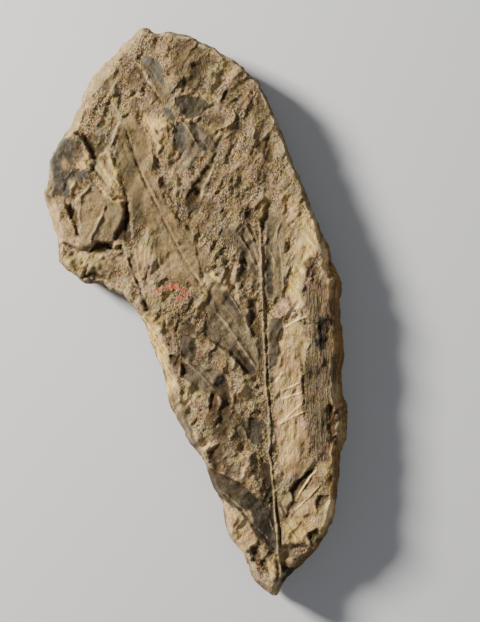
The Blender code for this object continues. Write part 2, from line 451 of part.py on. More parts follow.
def main():
    clear_scene()
    collection = bpy.data.collections.new("fossil_fern_plate")
    bpy.context.scene.collection.children.link(collection)
    stone = slab_blank(collection)
    shape_stone(stone)
    thin_out(stone)
    plane_rest_face(stone)
    stone.data.materials.clear()
    stone.data.materials.append(stone_material())
    stone.data.shade_smooth()
    stone.data.set_sharp_from_angle(angle=np.radians(38.0))


main()
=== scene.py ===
import math

import bmesh
import bpy
import numpy as np
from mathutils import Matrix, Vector, noise


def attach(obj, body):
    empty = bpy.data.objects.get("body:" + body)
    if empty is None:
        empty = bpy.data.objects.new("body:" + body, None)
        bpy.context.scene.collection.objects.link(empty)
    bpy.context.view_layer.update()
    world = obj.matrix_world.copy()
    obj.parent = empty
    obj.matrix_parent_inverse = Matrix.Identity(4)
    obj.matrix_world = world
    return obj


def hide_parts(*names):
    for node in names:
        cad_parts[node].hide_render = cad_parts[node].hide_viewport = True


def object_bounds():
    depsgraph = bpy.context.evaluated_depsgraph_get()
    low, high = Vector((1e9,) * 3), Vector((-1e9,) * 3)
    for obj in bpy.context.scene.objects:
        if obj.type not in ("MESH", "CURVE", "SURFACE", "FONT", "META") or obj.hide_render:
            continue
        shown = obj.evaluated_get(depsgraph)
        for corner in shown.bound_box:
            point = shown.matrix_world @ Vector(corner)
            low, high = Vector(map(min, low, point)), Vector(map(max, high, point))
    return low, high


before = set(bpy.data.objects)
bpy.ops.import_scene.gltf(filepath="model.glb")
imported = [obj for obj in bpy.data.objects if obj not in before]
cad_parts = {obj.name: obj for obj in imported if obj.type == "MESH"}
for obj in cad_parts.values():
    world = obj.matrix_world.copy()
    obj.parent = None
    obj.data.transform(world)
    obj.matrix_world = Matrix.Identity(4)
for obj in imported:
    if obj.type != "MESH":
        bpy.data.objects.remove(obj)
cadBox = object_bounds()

mm = 0.001  # places below are in millimetres, the scene is in metres

# The stone's own measures
plate = {
    "slabHeight": 20.0,  # blank that the stone is shaped from
    "faceHeight": 16.8,  # main bedding face above the floor
    "voxel": 1.52,  # mesh spacing of the underside
    "finerAbove": (-0.7, 0.7),  # faces whose normals rise above these are halved: sides and top, then top
    "swell": 0.55,  # broad waves
    "lump": 0.9,  # lumps a few millimetres across
    "knob": 0.4,  # knobs drawn out along the grain
    "stripRise": 1.3,  # the strip right of the stem climbs to its crest
    "valley": 0.7,  # shallow valley along the stem
    "grainRun": 62.0,  # the broken stone's grain runs up to the right, degrees
    "fibreRun": 91.0,  # run of the striated strip
    "ridge": 0.52,  # short ridges along the grain
    "bed": 0.3,  # height of the thin beds that break away
    "facet": 0.8,  # broad facets of the break
    "chip": 0.32,  # flat chips
    "grain": 0.08,  # grains about a millimetre across
    "sand": 0.1,  # the finest grains
    "ragged": 0.7,  # how far edges wander
    "overlap": 0.42,  # the broken sides stand out this far before they are cut back
    "wallRecess": 1.5,  # how deep the bedding steps go
    "wallReach": 5.0,  # how far in from the outline they are felt
    "edgeChip": 0.45,
    "bedSpacing": 2.6,
    "undercutWidth": 9.0,
    "undercutRise": 4.6,
    "flakeDepth": 1.3,
    "restCut": 0.35,  # trims the underside's crumbs to leave the flat rest face
    "nickHalfWidth": 0.3,
    "nickRise": 0.25,
    "smearHalfWidth": 0.55,
    "meanRounds": 14,  # rounds of averaging behind the crest and hollow colours
    "spine": [(-14, 62), (-8, 30), (12, -8), (24, -45), (27, -72)],
    "outline": [
        (-20, 90.2), (-17.6, 92.1), (-15.5, 92.1), (-14.1, 90.7), (-12, 90.2), (-9, 90.9), (-5.8, 90),
        (-2.1, 89.4), (1.9, 87.2), (5.6, 85.6), (7.4, 84.2), (9, 82.9), (12, 82), (15.1, 79.5), (18, 76),
        (19.4, 75.7), (20.4, 74.7), (23, 69.1), (24.1, 66.9), (24.9, 63.9), (26.4, 61.8), (28, 57),
        (29.6, 52), (31.6, 47.5), (33.1, 45.1), (34.7, 40.3), (36.8, 34.8), (39.2, 29.8), (40.9, 25),
        (43.1, 21), (43.8, 16.3), (46.9, 11.6), (47.3, 9.7), (47.3, 6.3), (46.5, 2.5), (46.9, -2.5),
        (48.2, -9.5), (47.9, -14.4), (46.9, -20), (48, -27.7), (49.1, -29.3), (49.4, -33.8), (49.2, -39.1),
        (48.7, -41.8), (46.5, -46.2), (46.4, -48), (47.1, -52.3), (46, -57.3), (45.1, -62.9), (44.5, -67.9),
        (42.3, -72.3), (38.3, -77.8), (33.4, -82.9), (30.2, -86.1), (27.5, -89.2), (27.5, -90.2),
        (26.7, -91.7), (25.8, -92.1), (24.9, -91.8), (22.2, -90), (19, -86.6), (16.9, -81.9), (15.5, -78),
        (12.9, -74.5), (11.5, -73.4), (10.3, -71.1), (9, -64.2), (9, -61.8), (5.9, -56.9), (4.4, -52.6),
        (2.9, -48.5), (0, -44.2), (-2.7, -41.5), (-4.8, -36.7), (-7.9, -30.4), (-9.4, -26.4),
        (-10.3, -19.4), (-12.2, -15.2), (-15, -8.8), (-16.2, -3.6), (-18.8, 0.1), (-23, 5.1), (-25.4, 6),
        (-28.6, 7.9), (-30.2, 9.2), (-33.9, 9.9), (-35, 9.1), (-38.7, 11.6), (-43.7, 15.9), (-44.5, 17.5),
        (-44.6, 22.2), (-45, 25.4), (-46.2, 27.7), (-47.4, 31.9), (-49.4, 37.9), (-49.2, 39.9), (-47.5, 42),
        (-47.2, 46), (-47, 49.6), (-44.7, 53.7), (-42.2, 58.2), (-40.4, 60.1), (-38.9, 64), (-36.5, 70.6),
        (-35, 74.3), (-32.4, 78.1), (-30.2, 80.5), (-25.9, 83.6), (-24.9, 84.8), (-24.1, 86.3),
        (-22.5, 87.8),
    ],
}

# Broken rim: place, width of the slope seen from above, its drop
rim = [
    (-17, 91, 2.2, 3.5), (-21, 88, 4.6, 5), (-25, 84, 5.6, 6.2), (-30, 80, 5.6, 6.2), (-34, 75, 4.4, 5.4),
    (-37, 69, 2.8, 4.2), (-39, 63.5, 2.8, 4.6), (-41.5, 59, 2.8, 5), (-44.5, 54, 1.2, 3.6), (-47, 48, 1, 4),
    (-49, 38.5, 3, 4.6), (-47, 31, 3.8, 5), (-45, 25, 2.5, 4), (-44.5, 19, 1.3, 3.2), (-40, 13, 1.5, 3),
    (-34, 9.5, 1.4, 3), (-27, 7, 1.3, 3), (-22, 4, 1.5, 3), (-18, -1, 2, 4), (-15.5, -7, 4, 5.4),
    (-12, -15.5, 4.2, 5.4), (-10, -22, 4, 5), (-8, -30, 3.2, 4.8), (-5, -36, 2, 4), (-1, -43, 1.6, 3.6),
    (3, -49, 1.4, 3.2), (9, -63, 1.4, 3.2), (11, -72.5, 1.6, 3.2), (15.5, -78, 1.7, 3.6),
    (18, -85, 1.9, 4.2), (24, -91, 2.6, 5.2), (27, -90, 2.6, 6), (30.5, -86, 2.9, 7), (35, -81, 3, 7),
    (40, -75.5, 3, 6.4), (44, -69, 2.6, 6), (46, -57, 2.7, 6.6), (47, -50, 2.5, 7), (48.5, -42, 4.2, 7.4),
    (49.4, -34, 4.6, 8), (47.5, -25, 4.2, 7.8), (47.5, -15, 3.6, 7.4), (47, -3, 3.6, 7), (47.2, 8, 4.4, 7),
    (45, 14, 4.2, 6.4), (43.2, 20, 3.2, 6), (41, 25, 2.2, 5), (38, 32, 1.5, 4), (34, 42, 1.1, 3.2),
    (29, 54, 1, 3), (24.5, 65.5, 1.1, 3.2), (18, 76, 1.2, 3.2), (8, 83.8, 1.3, 3.4), (-4, 89.8, 1.3, 3.4),
    (-13, 90.4, 1.3, 3.4),
]


def hollow(level, edge, skin, outline, fray=0.8):  # steep at its upper left, its floor comes up opposite
    return dict(level=level, edge=edge, wall=150, skin=skin, outline=outline, fray=fray)


def patch(skin, smooth, outline):  # a skin on the stone, without a step
    return dict(skin=skin, smooth=smooth, outline=outline)


# Areas of the face. level: height against the main face, edge: width of the slope round it, wall: the side
# of a hollow's steep wall, faces: the side that a slanting facet looks to and its slope, both sides in
# degrees, fray: how ragged the edge is, smooth: 0 for rough stone, skin: what colours it
areas = {
    # pale skin on the bevel that faces the key light: painted light
    "upperLeftBevel": patch("paleRim", 0.3, [
        (-17.3, 90), (-20, 86.8), (-23.3, 82.3), (-26.7, 78.3), (-30.2, 73.3), (-33.9, 70.6), (-36.5, 67.7),
        (-36.9, 64.8), (-36.8, 61.5), (-39.5, 56.5), (-46, 53), (-45, 64), (-38, 80), (-24, 94),
        (-17, 94)]),
    "roughUpperLeft": dict(level=-0.35, edge=2.2, outline=[
        (-18.5, 87), (-23, 82), (-27, 77.5), (-31, 72), (-35.5, 68), (-36.5, 62), (-37.5, 57.5),
        (-34.5, 54), (-31.5, 49.5), (-29, 52), (-26.5, 57), (-24.8, 62), (-26.5, 67), (-27, 73),
        (-21, 81)]),
    "leftLeafLedge": dict(level=1.6, edge=1.1, wall=112, smooth=0.5, outline=[
        (-43.6, 56.8), (-46, 52.6), (-47.2, 47), (-46.8, 42.6), (-45.6, 38), (-43.1, 36), (-41.6, 35.8),
        (-39.6, 39.3), (-37.6, 41.8), (-34.4, 43), (-33.2, 46), (-32.7, 49.2), (-34.1, 52.8), (-36, 55.9),
        (-39, 58)]),
    "leftLeaf": patch("greyFilm", 0.85, [
        (-41.8, 56.6), (-39.4, 55.4), (-38.2, 53.2), (-38.4, 50), (-39.5, 46.8), (-40.9, 43.6), (-42, 40),
        (-43.1, 37), (-44.7, 37.8), (-45.7, 40.3), (-45.6, 43.5), (-46.4, 46), (-46.4, 48.9), (-44.7, 50.8),
        (-44, 53.5), (-43.2, 55.6)]),
    "leftLeafBranch": patch("greyFilm", 0.8, [
        (-39, 46), (-37.6, 45.3), (-36.1, 45.6), (-34, 45.3), (-33.7, 44.4), (-34.8, 43.1), (-36.2, 42.5),
        (-37.7, 42.6), (-39, 41.6), (-39.8, 39.8), (-40.9, 37.2), (-41.9, 36.1), (-42.6, 36.9),
        (-42.1, 39.4), (-41, 42.9), (-40, 45)]),
    "leftLeafScar": patch("cream", 0.3, [
        (-35.8, 52.1), (-33.8, 50.8), (-33.7, 48.6), (-36, 45.9), (-38.2, 46.2), (-38.9, 47), (-37.2, 48.4),
        (-36, 50.3)]),
    "leftLeafRust": patch("plum", 0.0, [
        (-38.3, 54.4), (-36.4, 53.4), (-36, 50.8), (-37.8, 48.6), (-38.9, 47.4), (-38.5, 50.6)]),
    "leftLeafFoot": patch("plum", 0.0, [
        (-45.6, 41.6), (-43.6, 41), (-42.8, 38), (-44.4, 37.4), (-45.8, 39.6)]),
    "mottledGround": patch("crust", 0.0, [
        (-40.2, 41.8), (-38, 42.2), (-34.4, 42.8), (-33.4, 40.6), (-36.2, 37.2), (-38.6, 34), (-41, 35.4),
        (-41.6, 36.6)]),
    "leafFlake": dict(level=0.4, edge=0.6, skin="cream", outline=[
        (-40.5, 37.8), (-40.1, 40.3), (-39.1, 42), (-38.2, 42.1), (-38.8, 40.3), (-39.2, 38.4)]),
    "shadowWedge": dict(level=-1.3, edge=1.2, wall=200, fray=0.3, skin="paintedOliveShade", outline=[
        (-36.4, 57.2), (-34.2, 56.6), (-32, 53.3), (-31.2, 50), (-31.8, 48.8), (-32.8, 49.8), (-34.1, 52.4),
        (-35.6, 54.6)]),
    "streakyBlock": dict(level=0.7, edge=0.9, faces=(155, 0.1), smooth=0.3, skin="paleRim", outline=[
        (-32.2, 48.2), (-29.4, 51.9), (-27.2, 51.9), (-25.8, 47.1), (-24, 42.1), (-22.8, 36.9),
        (-25.1, 36.9), (-26.9, 38.2), (-28.6, 39.4), (-30.4, 41.4), (-31.7, 44.8)]),
    "creamStreaks": patch("cream", 0.0, [
        (-29.2, 52.2), (-28, 52), (-26, 47.4), (-24.4, 44), (-23.9, 42), (-24.8, 40.4), (-27.4, 39.6),
        (-27.8, 41), (-26.8, 43), (-26.5, 45), (-27.6, 48.4)]),
    "creamStreakLeft": patch("cream", 0.0, [
        (-30.9, 48.4), (-30, 47.8), (-27.2, 43.8), (-26.8, 42), (-28.2, 42), (-29.4, 44.6)]),
    "creamStreakFoot": patch("cream", 0.0, [
        (-30.9, 40.3), (-29.8, 40.1), (-26.8, 37), (-24.6, 35.6), (-24.9, 34.5), (-27.5, 35.9)]),
    "tanLeafStep": dict(level=0.5, edge=0.8, fray=0.4, outline=[
        (-36.8, 38), (-33.6, 41), (-29.8, 39), (-27.3, 37), (-24.2, 35.8), (-23, 33.6), (-23.4, 30.7),
        (-25, 27.1), (-26.3, 24.6), (-26.4, 23), (-32.8, 22), (-37.4, 21), (-38, 27), (-37.2, 33)]),
    "tanLeafLeft": dict(faces=(160, 0.06), smooth=0.9, skin="tanBlade", outline=[
        (-36.4, 36.8), (-36, 38), (-33.6, 40), (-31.4, 39.2), (-29.6, 37.8), (-28, 36.4), (-29.3, 33.6),
        (-31.4, 30), (-32.9, 26.4), (-34.4, 22), (-37.4, 21.6), (-37.6, 25.6), (-37, 29.2), (-37, 32.8)]),
    "tanLeafRight": dict(faces=(-20, 0.05), smooth=0.9, skin="olive", outline=[
        (-27.2, 36.4), (-24.4, 35.4), (-23.2, 33.6), (-23.5, 30.7), (-25.1, 27.1), (-26.5, 24.7),
        (-26.5, 23.2), (-28.6, 22.9), (-32.9, 22.3), (-33.6, 22.6), (-31.7, 26.4), (-29.9, 30.6),
        (-28.1, 33.9)]),
    "cavity": dict(level=-1.2, edge=1.4, fray=0.3, skin="paintedBrownShade", outline=[
        (-22.6, 35.6), (-21.2, 35.4), (-20.7, 30), (-20.6, 22.9), (-22.2, 22.8), (-23, 28), (-23, 32)]),
    "cavityShelf": dict(level=-0.7, edge=0.7, fray=0.4, skin="plum", outline=[
        (-23.4, 31.2), (-22, 29.6), (-21.8, 23), (-26.2, 23), (-25.2, 27)]),
    "leftHollow": dict(level=-1.4, edge=1.0, fray=0.3, skin="paintedOliveShade", outline=[
        (-41.7, 35.4), (-39.7, 34), (-38.2, 32.9), (-37.4, 30.7), (-37.5, 27.5), (-37, 23.2), (-38.3, 26.4),
        (-39.2, 28.7), (-40.9, 31.8)]),
    # pale skin on the edge that faces the key light: painted light
    "leftFacet": patch("paleRim", 0.4, [
        (-46.2, 40), (-45, 36), (-43.7, 33), (-42.8, 30.5), (-39.6, 28.4), (-38.4, 24), (-39, 22),
        (-47, 22), (-52, 38), (-49, 42)]),
    "lowerFlange": dict(level=-2.3, edge=0.9, fray=0.4, outline=[
        (-46, 23.5), (-42, 22.6), (-39, 21.2), (-36.5, 20.2), (-34.6, 21.6), (-32, 22.3), (-29, 22.2),
        (-26.6, 21.2), (-23.4, 21.6), (-21.4, 15), (-18.4, 6.4), (-15, 0.5), (-18, -2), (-26, 4), (-36, 7),
        (-46, 15)]),
    "flangeFoot": dict(level=1.2, edge=6.0, outline=[
        (-22.5, 22), (-13, 24), (-10, 8), (-14, -4), (-24, 2)]),
    "flangeCrust": patch("crust", 0.0, [
        (-43.5, 20.5), (-40, 18.6), (-36, 19), (-31, 20), (-28, 19), (-27.4, 15), (-29.6, 12.4), (-35, 11),
        (-39.5, 13.2), (-43, 16.4)]),
    "underLeafShade": dict(level=-1.1, edge=0.8, fray=0.4, skin="paintedBrownShade", outline=[
        (-34.4, 19.2), (-33.4, 21.4), (-31.5, 22.6), (-28.6, 22.7), (-26.4, 21.8), (-26.8, 20.9),
        (-29.4, 21.2), (-31.5, 20.2)]),
    "flangeShade": dict(level=-0.6, edge=0.9, skin="paintedBrownShade", outline=[
        (-37.4, 11.6), (-33.4, 12.6), (-28.4, 12.2), (-28.2, 10.6), (-33, 10.8)]),
    "flangeSmooth": patch("paleTan", 0.7, [
        (-19.4, 20), (-15, 21), (-14.7, 17), (-16.5, 14), (-17.5, 10), (-18.2, 12)]),
    "blade": dict(level=0.45, edge=0.7, outline=[
        (-24.8, 60), (-26.2, 51), (-25.2, 45), (-22.5, 38), (-20, 31), (-16, 27), (-12.5, 18), (-9.5, 11),
        (-4, 9.4), (3, 8.4), (0.4, 20), (0, 25), (-7.4, 32), (-8, 36), (-12.4, 44.5), (-14, 56),
        (-19, 62)]),
    "bladeSkin": patch("tanBlade", 0.85, [
        (-24.6, 61), (-25.6, 52), (-25, 46), (-23, 40), (-21, 33.5), (-18, 29), (-15.4, 26), (-13.8, 21),
        (-11.6, 15), (-9.2, 11), (-4, 9.8), (2.6, 8.6), (0.8, 14), (0, 20), (-0.8, 25), (-6.6, 30.6),
        (-9.4, 35), (-12.6, 43), (-13.8, 49), (-15.4, 57), (-19, 63)]),
    "bladeGrey": patch("olive", 0.0, [
        (-25.6, 54), (-21.6, 53), (-18.6, 46), (-17, 41), (-17.4, 37), (-20.6, 37.6), (-23, 42),
        (-25.2, 48)]),
    "bladeRosy": patch("rosy", 0.0, [(-19, 55.8), (-15.4, 56.6), (-13.2, 55.8), (-13, 51), (-17.6, 50.8)]),
    "trough": hollow(-1.2, 3.0, "paintedOliveShade", [
        (5.9, 49.7), (5, 47.7), (2.6, 45.3), (-0.4, 41.7), (-3.2, 37.4), (-3.4, 34.6), (-1.8, 34),
        (1, 36.1), (1.8, 40.5), (3.9, 43.7), (5.5, 46.9)]),
    "troughShade": patch("paintedBrownShade", 0.0, [
        (2.6, 45.2), (-0.4, 41.7), (-2.6, 37.6), (-2.4, 35.2), (-1, 35.5), (1.2, 38.6)]),
    "bladePit": hollow(-1.0, 0.9, "paintedOliveShade", [
        (-11.3, 43.6), (-9.4, 43.2), (-8.8, 41.4), (-9.3, 40), (-10.9, 39.8)]),
    "tipLeaf": dict(level=-0.1, edge=0.8, smooth=0.85, skin="greyFilm", outline=[
        (-17.4, 81), (-15.4, 82.4), (-12, 81.2), (-10.8, 78.4), (-10.2, 75), (-10.8, 72.6), (-13, 74.6),
        (-15.1, 76.8), (-17, 79.4)]),
    "tipLeafFoot": patch("olive", 0.8, [
        (-18, 80.2), (-16.4, 78), (-14.6, 76.4), (-12.6, 75.6), (-11, 74), (-10, 74.6), (-9.4, 71),
        (-8.4, 69.4), (-10.4, 68.4), (-12.4, 70.8), (-14.6, 74.2), (-16.6, 77.2)]),
    "upperRightPinnule": dict(level=-0.2, edge=0.8, smooth=0.75, skin="darkFilm", outline=[
        (-4.4, 69.6), (-1.6, 69), (0, 69.3), (1.6, 69.6), (3.2, 68.2), (4.1, 66.2), (3, 64.2), (0, 62.6),
        (-2.6, 62.2), (-3.8, 64), (-3.6, 66.8)]),
    "pinnuleHeel": patch("darkFilm", 0.6, [
        (-6.8, 69.4), (-3.6, 69.8), (-2.6, 67), (-3, 64), (-4.2, 63.2), (-5.8, 66.4)]),
    "pinnuleGlint": patch("greyFilm", 0.6, [(-2.8, 68.8), (-0.8, 68.8), (-0.6, 66.6), (-2.2, 66.4)]),
    "pinnuleGround": dict(level=-0.3, edge=1.2, smooth=0.55, skin="washFilm", outline=[
        (-7, 60.1), (-3, 60.5), (2.2, 60.1), (5, 58), (7.8, 55.3), (8.6, 52.1), (3.8, 51.3), (1.8, 52.1),
        (-1, 45.7), (-4.2, 46.5), (-5.8, 50.5), (-7.4, 55)]),
    "middleLeftPinnule": dict(level=0.1, edge=0.8, smooth=0.7, skin="greyFilm", outline=[
        (-10.6, 66), (-9, 66.4), (-7.6, 64.6), (-6.2, 62.4), (-7.6, 61.6), (-9.8, 62.4)]),
    "lowerLeftPinnule": dict(level=-0.1, edge=0.8, smooth=0.8, skin="greyFilm", outline=[
        (-5.4, 60.6), (-4, 60), (-3.2, 57.6), (-2.8, 54), (-4, 50.6), (-6.2, 52), (-7.4, 55.2),
        (-7, 57.8)]),
    "pinnuleWing": patch("washFilm", 0.6, [
        (-3, 57.6), (-1.6, 56), (0.2, 52.4), (1.2, 50.2), (-1.4, 49.8), (-3.6, 51.6)]),
    "lowerRightPinnule": dict(level=-0.15, edge=0.8, smooth=0.7, skin="darkFilm", outline=[
        (-2, 60.2), (-0.2, 61), (1, 58.6), (1.6, 55.8), (3.8, 52.4), (2, 52), (0.2, 54.8), (-1.2, 57.6)]),
    "pinnuleFold": dict(level=0.3, edge=0.8, skin="washFilm", outline=[
        (1.4, 59.6), (3.6, 59), (5, 56), (7.4, 53.6), (8.8, 52.2), (6.6, 51.4), (4, 52.4), (2, 55.8)]),
    "smallPinnule": dict(level=0.2, edge=0.6, smooth=0.7, skin="greyFilm", outline=[
        (-5, 50), (-3.5, 50.8), (-2.2, 49), (-1.2, 46.5), (-3.5, 46.3), (-5, 48)]),
    "creamPatch": dict(level=0.3, edge=1.2, faces=(150, 0.06), smooth=0.2, skin="cream", outline=[
        (-16.4, 63.6), (-13, 62.8), (-11, 64.2), (-9.4, 61.7), (-9, 57.7), (-9.4, 54.4), (-11.9, 50.6),
        (-13.6, 54.8), (-14.8, 58.2), (-16.6, 61)]),
    "topHollow": hollow(-1.3, 2.6, "paintedOliveShade", [
        (3.4, 80.5), (2.2, 76.5), (-1.4, 72.4), (-4.2, 71.3), (-5.2, 72.4), (-3, 75.3), (-0.2, 78.9)]),
    "topSlot": hollow(-1.1, 1.0, "paintedOliveShade", [(10.7, 71.8), (9.4, 71.3), (8.2, 67.7), (9.2, 66.7), (10.5, 69)]),
    "lobe": dict(level=0.65, edge=0.9, wall=-30, smooth=0.5, outline=[
        (11.8, 66), (12.7, 63.3), (11.9, 60.1), (9.8, 58.5), (7.8, 58.5), (8.2, 61.7), (10, 65)]),
    "oliveHollow": hollow(-1.0, 2.0, "paintedOliveShade", [
        (21.5, 56.4), (23.4, 57), (25, 55.3), (24.7, 49.3), (23.1, 46.9), (21.9, 50.5), (20, 53.3)]),
    "fanSlot": hollow(-0.8, 1.8, "paintedOliveShade", [
        (17.5, 35.1), (18.4, 32.9), (18.8, 28.9), (17.5, 28.4), (15.8, 30.3), (15.8, 32.5)]),
    "ribSlot": dict(level=-0.5, edge=1.2, fray=0.3, skin="paintedOliveShade", outline=[
        (23, 35.9), (23.9, 35.7), (23.9, 32.9), (22.9, 29.2), (22, 26.2), (21.1, 28), (21.5, 30.4),
        (22.5, 32.9)]),
    "upperLeafBed": dict(level=-0.45, edge=0.8, outline=[
        (5.2, 9.3), (9.6, 7.8), (12.2, 2.4), (14.8, -2.6), (18.8, -9.2), (20.2, -19.8), (17.4, -20.2),
        (14, -15.4), (9.8, -10.8), (3, -7.2), (4, 1)]),
    "upperLeaf": patch("washFilm", 0.7, [
        (3.8, 10), (6.4, 9.6), (9.1, 8.4), (10.7, 6.8), (13.5, 3.2), (15.5, 0), (17.5, -4.8), (18.3, -8),
        (20.3, -12.4), (21.1, -16), (20.3, -20.4), (17.9, -20.4), (15.5, -19.2), (13.1, -15.2),
        (10.7, -12.8), (7.1, -10.4), (3.4, -8), (3, -5.6), (3.8, -2.4), (4.6, 0.8), (3.8, 4), (3.8, 6.8)]),
    "upperLeafBand": patch("darkFilm", 0.7, [
        (8.6, 8), (10.6, 6.6), (13.4, 3), (15.4, -0.6), (14.2, -1.8), (11.4, 1.4), (9, 5.2)]),
    "upperLeafFoot": patch("paintedBrownShade", 0.5, [
        (11.9, -11.4), (15.4, -12), (18.6, -14.6), (20.2, -18), (20.2, -20.2), (17.6, -20.2), (15.4, -18.8),
        (13, -15), (10.8, -12.6)]),
    "dome": dict(level=1.0, edge=2.4, outline=[
        (0.8, -10.2), (7, -10.6), (10.2, -12.2), (15.2, -18), (16.6, -25), (12, -28.4), (9, -21),
        (2, -15)]),
    "stemTrough": hollow(-1.1, 1.3, "paintedBrownShade", [
        (17.3, 4), (19.4, 4), (20.8, -4), (21, -14), (20.3, -13), (18.3, -8), (17.4, -4.8)]),
    "fanTrough": hollow(-0.8, 1.2, "paintedBrownShade", [
        (13.9, 17), (16.4, 17.2), (16.6, 13), (15.6, 11), (14.2, 11.4)]),
    "bumpyGround": dict(level=0.6, edge=2.0, outline=[
        (4, 20.5), (15, 19.5), (15.5, 9), (8, 8.6), (4.5, 11)]),
    "greyStrip": patch("olive", 0.7, [
        (0.7, 20), (3, 20), (4, 17), (3.5, 13.5), (2.8, 13), (1.5, 15), (0.3, 17.5)]),
    "oliveLeafLeft": dict(level=-0.5, edge=0.8, smooth=0.65, skin="darkFilm", outline=[
        (-4.6, -7.6), (-1.8, -7.2), (0.2, -8.8), (0.6, -11.2), (-0.2, -15.2), (-1.8, -15.6), (-4.2, -14),
        (-5, -11.2)]),
    "purpleHollow": hollow(-1.1, 1.0, "plum", [
        (-8.2, -14), (-6.2, -13.2), (-5, -14.4), (-5, -16), (-4.2, -18), (-6.6, -17.6), (-7.8, -16.8)]),
    "purpleSpot": patch("paintedBrownShade", 0.0, [(-3.2, -3.6), (-0.2, -4), (0, -7.2), (-2.6, -7.2)]),
    "smallHollow": hollow(-1.6, 1.0, "paintedBrownShade", [(-4.5, -16.6), (-2.4, -17), (-2.7, -19.5), (-4.6, -19.6)]),
    "oliveLeaf": dict(level=-0.3, edge=0.8, smooth=0.75, skin="greyTan", outline=[
        (-4.6, -14.6), (-1.8, -15.8), (1.4, -18), (3.8, -18.4), (7.9, -18.4), (9.9, -20.4), (10.7, -24),
        (11.1, -28), (10.3, -29.6), (7.9, -27.6), (5.8, -25.6), (1.4, -25.6), (-1.8, -23.2), (-4.6, -20)]),
    "oliveLeafShade": dict(level=-0.3, edge=1.0, faces=(-30, 0.2), smooth=0.5, skin="charcoal", outline=[
        (5.4, -21.6), (8, -19.8), (10.2, -21.3), (10.9, -24.1), (11, -27.7), (11.4, -30.9), (8.7, -28.4),
        (6.4, -26.6)]),
    "pitGround": patch("paintedOliveShade", 0.0, [
        (4.6, -25.8), (8, -25.6), (11.4, -28.4), (12.4, -32), (11.6, -37), (10.4, -40), (7, -39),
        (4.6, -35), (4.2, -30)]),
    "leftPit": hollow(-1.5, 1.3, "paintedBrownShade", [(4.8, -26.3), (7.2, -26.4), (6.6, -30.8), (4.6, -31.2)]),
    "rightPit": hollow(-1.6, 1.4, "paintedBrownShade", [
        (8.2, -28.3), (11.3, -29.4), (10.8, -32.8), (9.6, -36.2), (6.6, -36.2)]),
    "purplePatch": patch("washFilm", 0.6, [(12.8, -35.6), (17, -34.4), (17.4, -40), (13.6, -40.4)]),
    "darkLeaf": dict(level=-0.4, edge=0.7, smooth=0.7, skin="darkFilm", outline=[
        (17, -34), (19.6, -33.6), (21.4, -36.4), (21.6, -41.6), (18.6, -42.4), (17.2, -39.6)]),
    "whiteFleck": patch("cream", 0.0, [(15.8, -39.2), (16.8, -39.6), (17.6, -41), (16.4, -40.8)]),
    "yellowFleck": patch("cream", 0.0, [(21, -24), (22.4, -23.8), (22.8, -24.8), (21.2, -25)]),
    "creamFlecks": dict(level=0.4, edge=0.8, skin="cream", outline=[
        (5.4, 13.4), (6.8, 12.6), (8, 10.8), (10, 9.6), (10.4, 8.2), (8.6, 8.6), (6.6, 10.4), (5.2, 12)]),
    "edgeHollow": hollow(-1.2, 1.3, "paintedOliveShade", [
        (4.6, -45), (8.4, -42.4), (9, -42.6), (8.4, -47.6), (6.4, -48.6), (4.6, -48)]),
    "mound": dict(level=1.0, edge=3.0, outline=[
        (8, -44), (17.5, -45), (19.5, -55), (14, -54.6), (8.4, -51)]),
    "moundFace": patch("paleTan", 0.2, [
        (14.6, -50.6), (17.4, -50), (18.8, -53.2), (17.4, -55.6), (15, -54.4)]),
    "lowerLeafBed": dict(level=-0.6, edge=0.9, outline=[
        (4.4, -50.4), (11, -52.8), (18, -57.8), (23.6, -61), (25, -66), (26, -74.6), (25.6, -77.4),
        (22.6, -74.2), (19.8, -70.6), (17.2, -67), (12.6, -63.2), (9.4, -60.8), (6, -57)]),
    "lowerLeaf": patch("darkFilm", 0.85, [
        (4, -49.8), (9.2, -51.6), (13.4, -54), (17.5, -57.4), (21.1, -60.8), (23.4, -64.3), (25.1, -69),
        (26.2, -73.5), (26, -77), (23, -75), (19.8, -72.6), (17.4, -68.4), (14.3, -64.2), (10.5, -61.2),
        (7.4, -58.8), (5, -55)]),
    "lowerLeafShade": patch("charcoal", 0.0, [
        (18.8, -66.2), (21.6, -66.6), (25.2, -71), (25.9, -75.4), (23.8, -74.2), (21, -70.8), (19, -68.2)]),
    # the facet tilts toward the key light and its pale skin adds painted light on top
    "lowerRimFacet": dict(faces=(160, 0.12), smooth=0.2, skin="paleTan", outline=[
        (9.4, -62), (12.3, -63.4), (16.2, -67), (18.2, -69.6), (19.6, -72.2), (18.8, -75), (16.7, -76.8),
        (15.5, -79), (13.2, -76.4), (10.8, -73.4), (9.2, -68.1)]),
    "stemShade": patch("charcoal", 0.0, [
        (21.6, -57.2), (24.7, -58.6), (25.4, -66), (26.2, -74), (25.4, -77), (23.6, -75), (22.8, -70),
        (20.8, -65), (20.2, -61)]),
    "brownStrip": dict(level=-0.45, edge=1.2, skin="paintedBrownShade", outline=[
        (20.8, -46.8), (22.6, -47.6), (24, -51), (24.8, -56), (25, -59), (23.2, -58), (21.4, -54.6),
        (20.6, -50.4)]),
    "fanGrey": patch("washFilm", 0.5, [
        (12.4, 26.6), (14.4, 28.8), (16.8, 27), (19.4, 21), (20.6, 14), (19, 12), (16.8, 16), (14.6, 19.6),
        (12.2, 22)]),
    "fanGreen": patch("washFilm", 0.0, [(7.9, 27), (12.7, 27.6), (12.4, 24.4), (8.4, 24.2)]),
    "stemRight": dict(level=-0.3, edge=1.0, smooth=0.75, skin="olive", outline=[
        (23, 32), (26.6, 31.6), (28.3, 29.8), (28.6, 22), (28.6, 12), (28.3, 5), (23, 4.4), (22.8, 14),
        (22.7, 22)]),
    "fanDark": patch("washFilm", 0.7, [
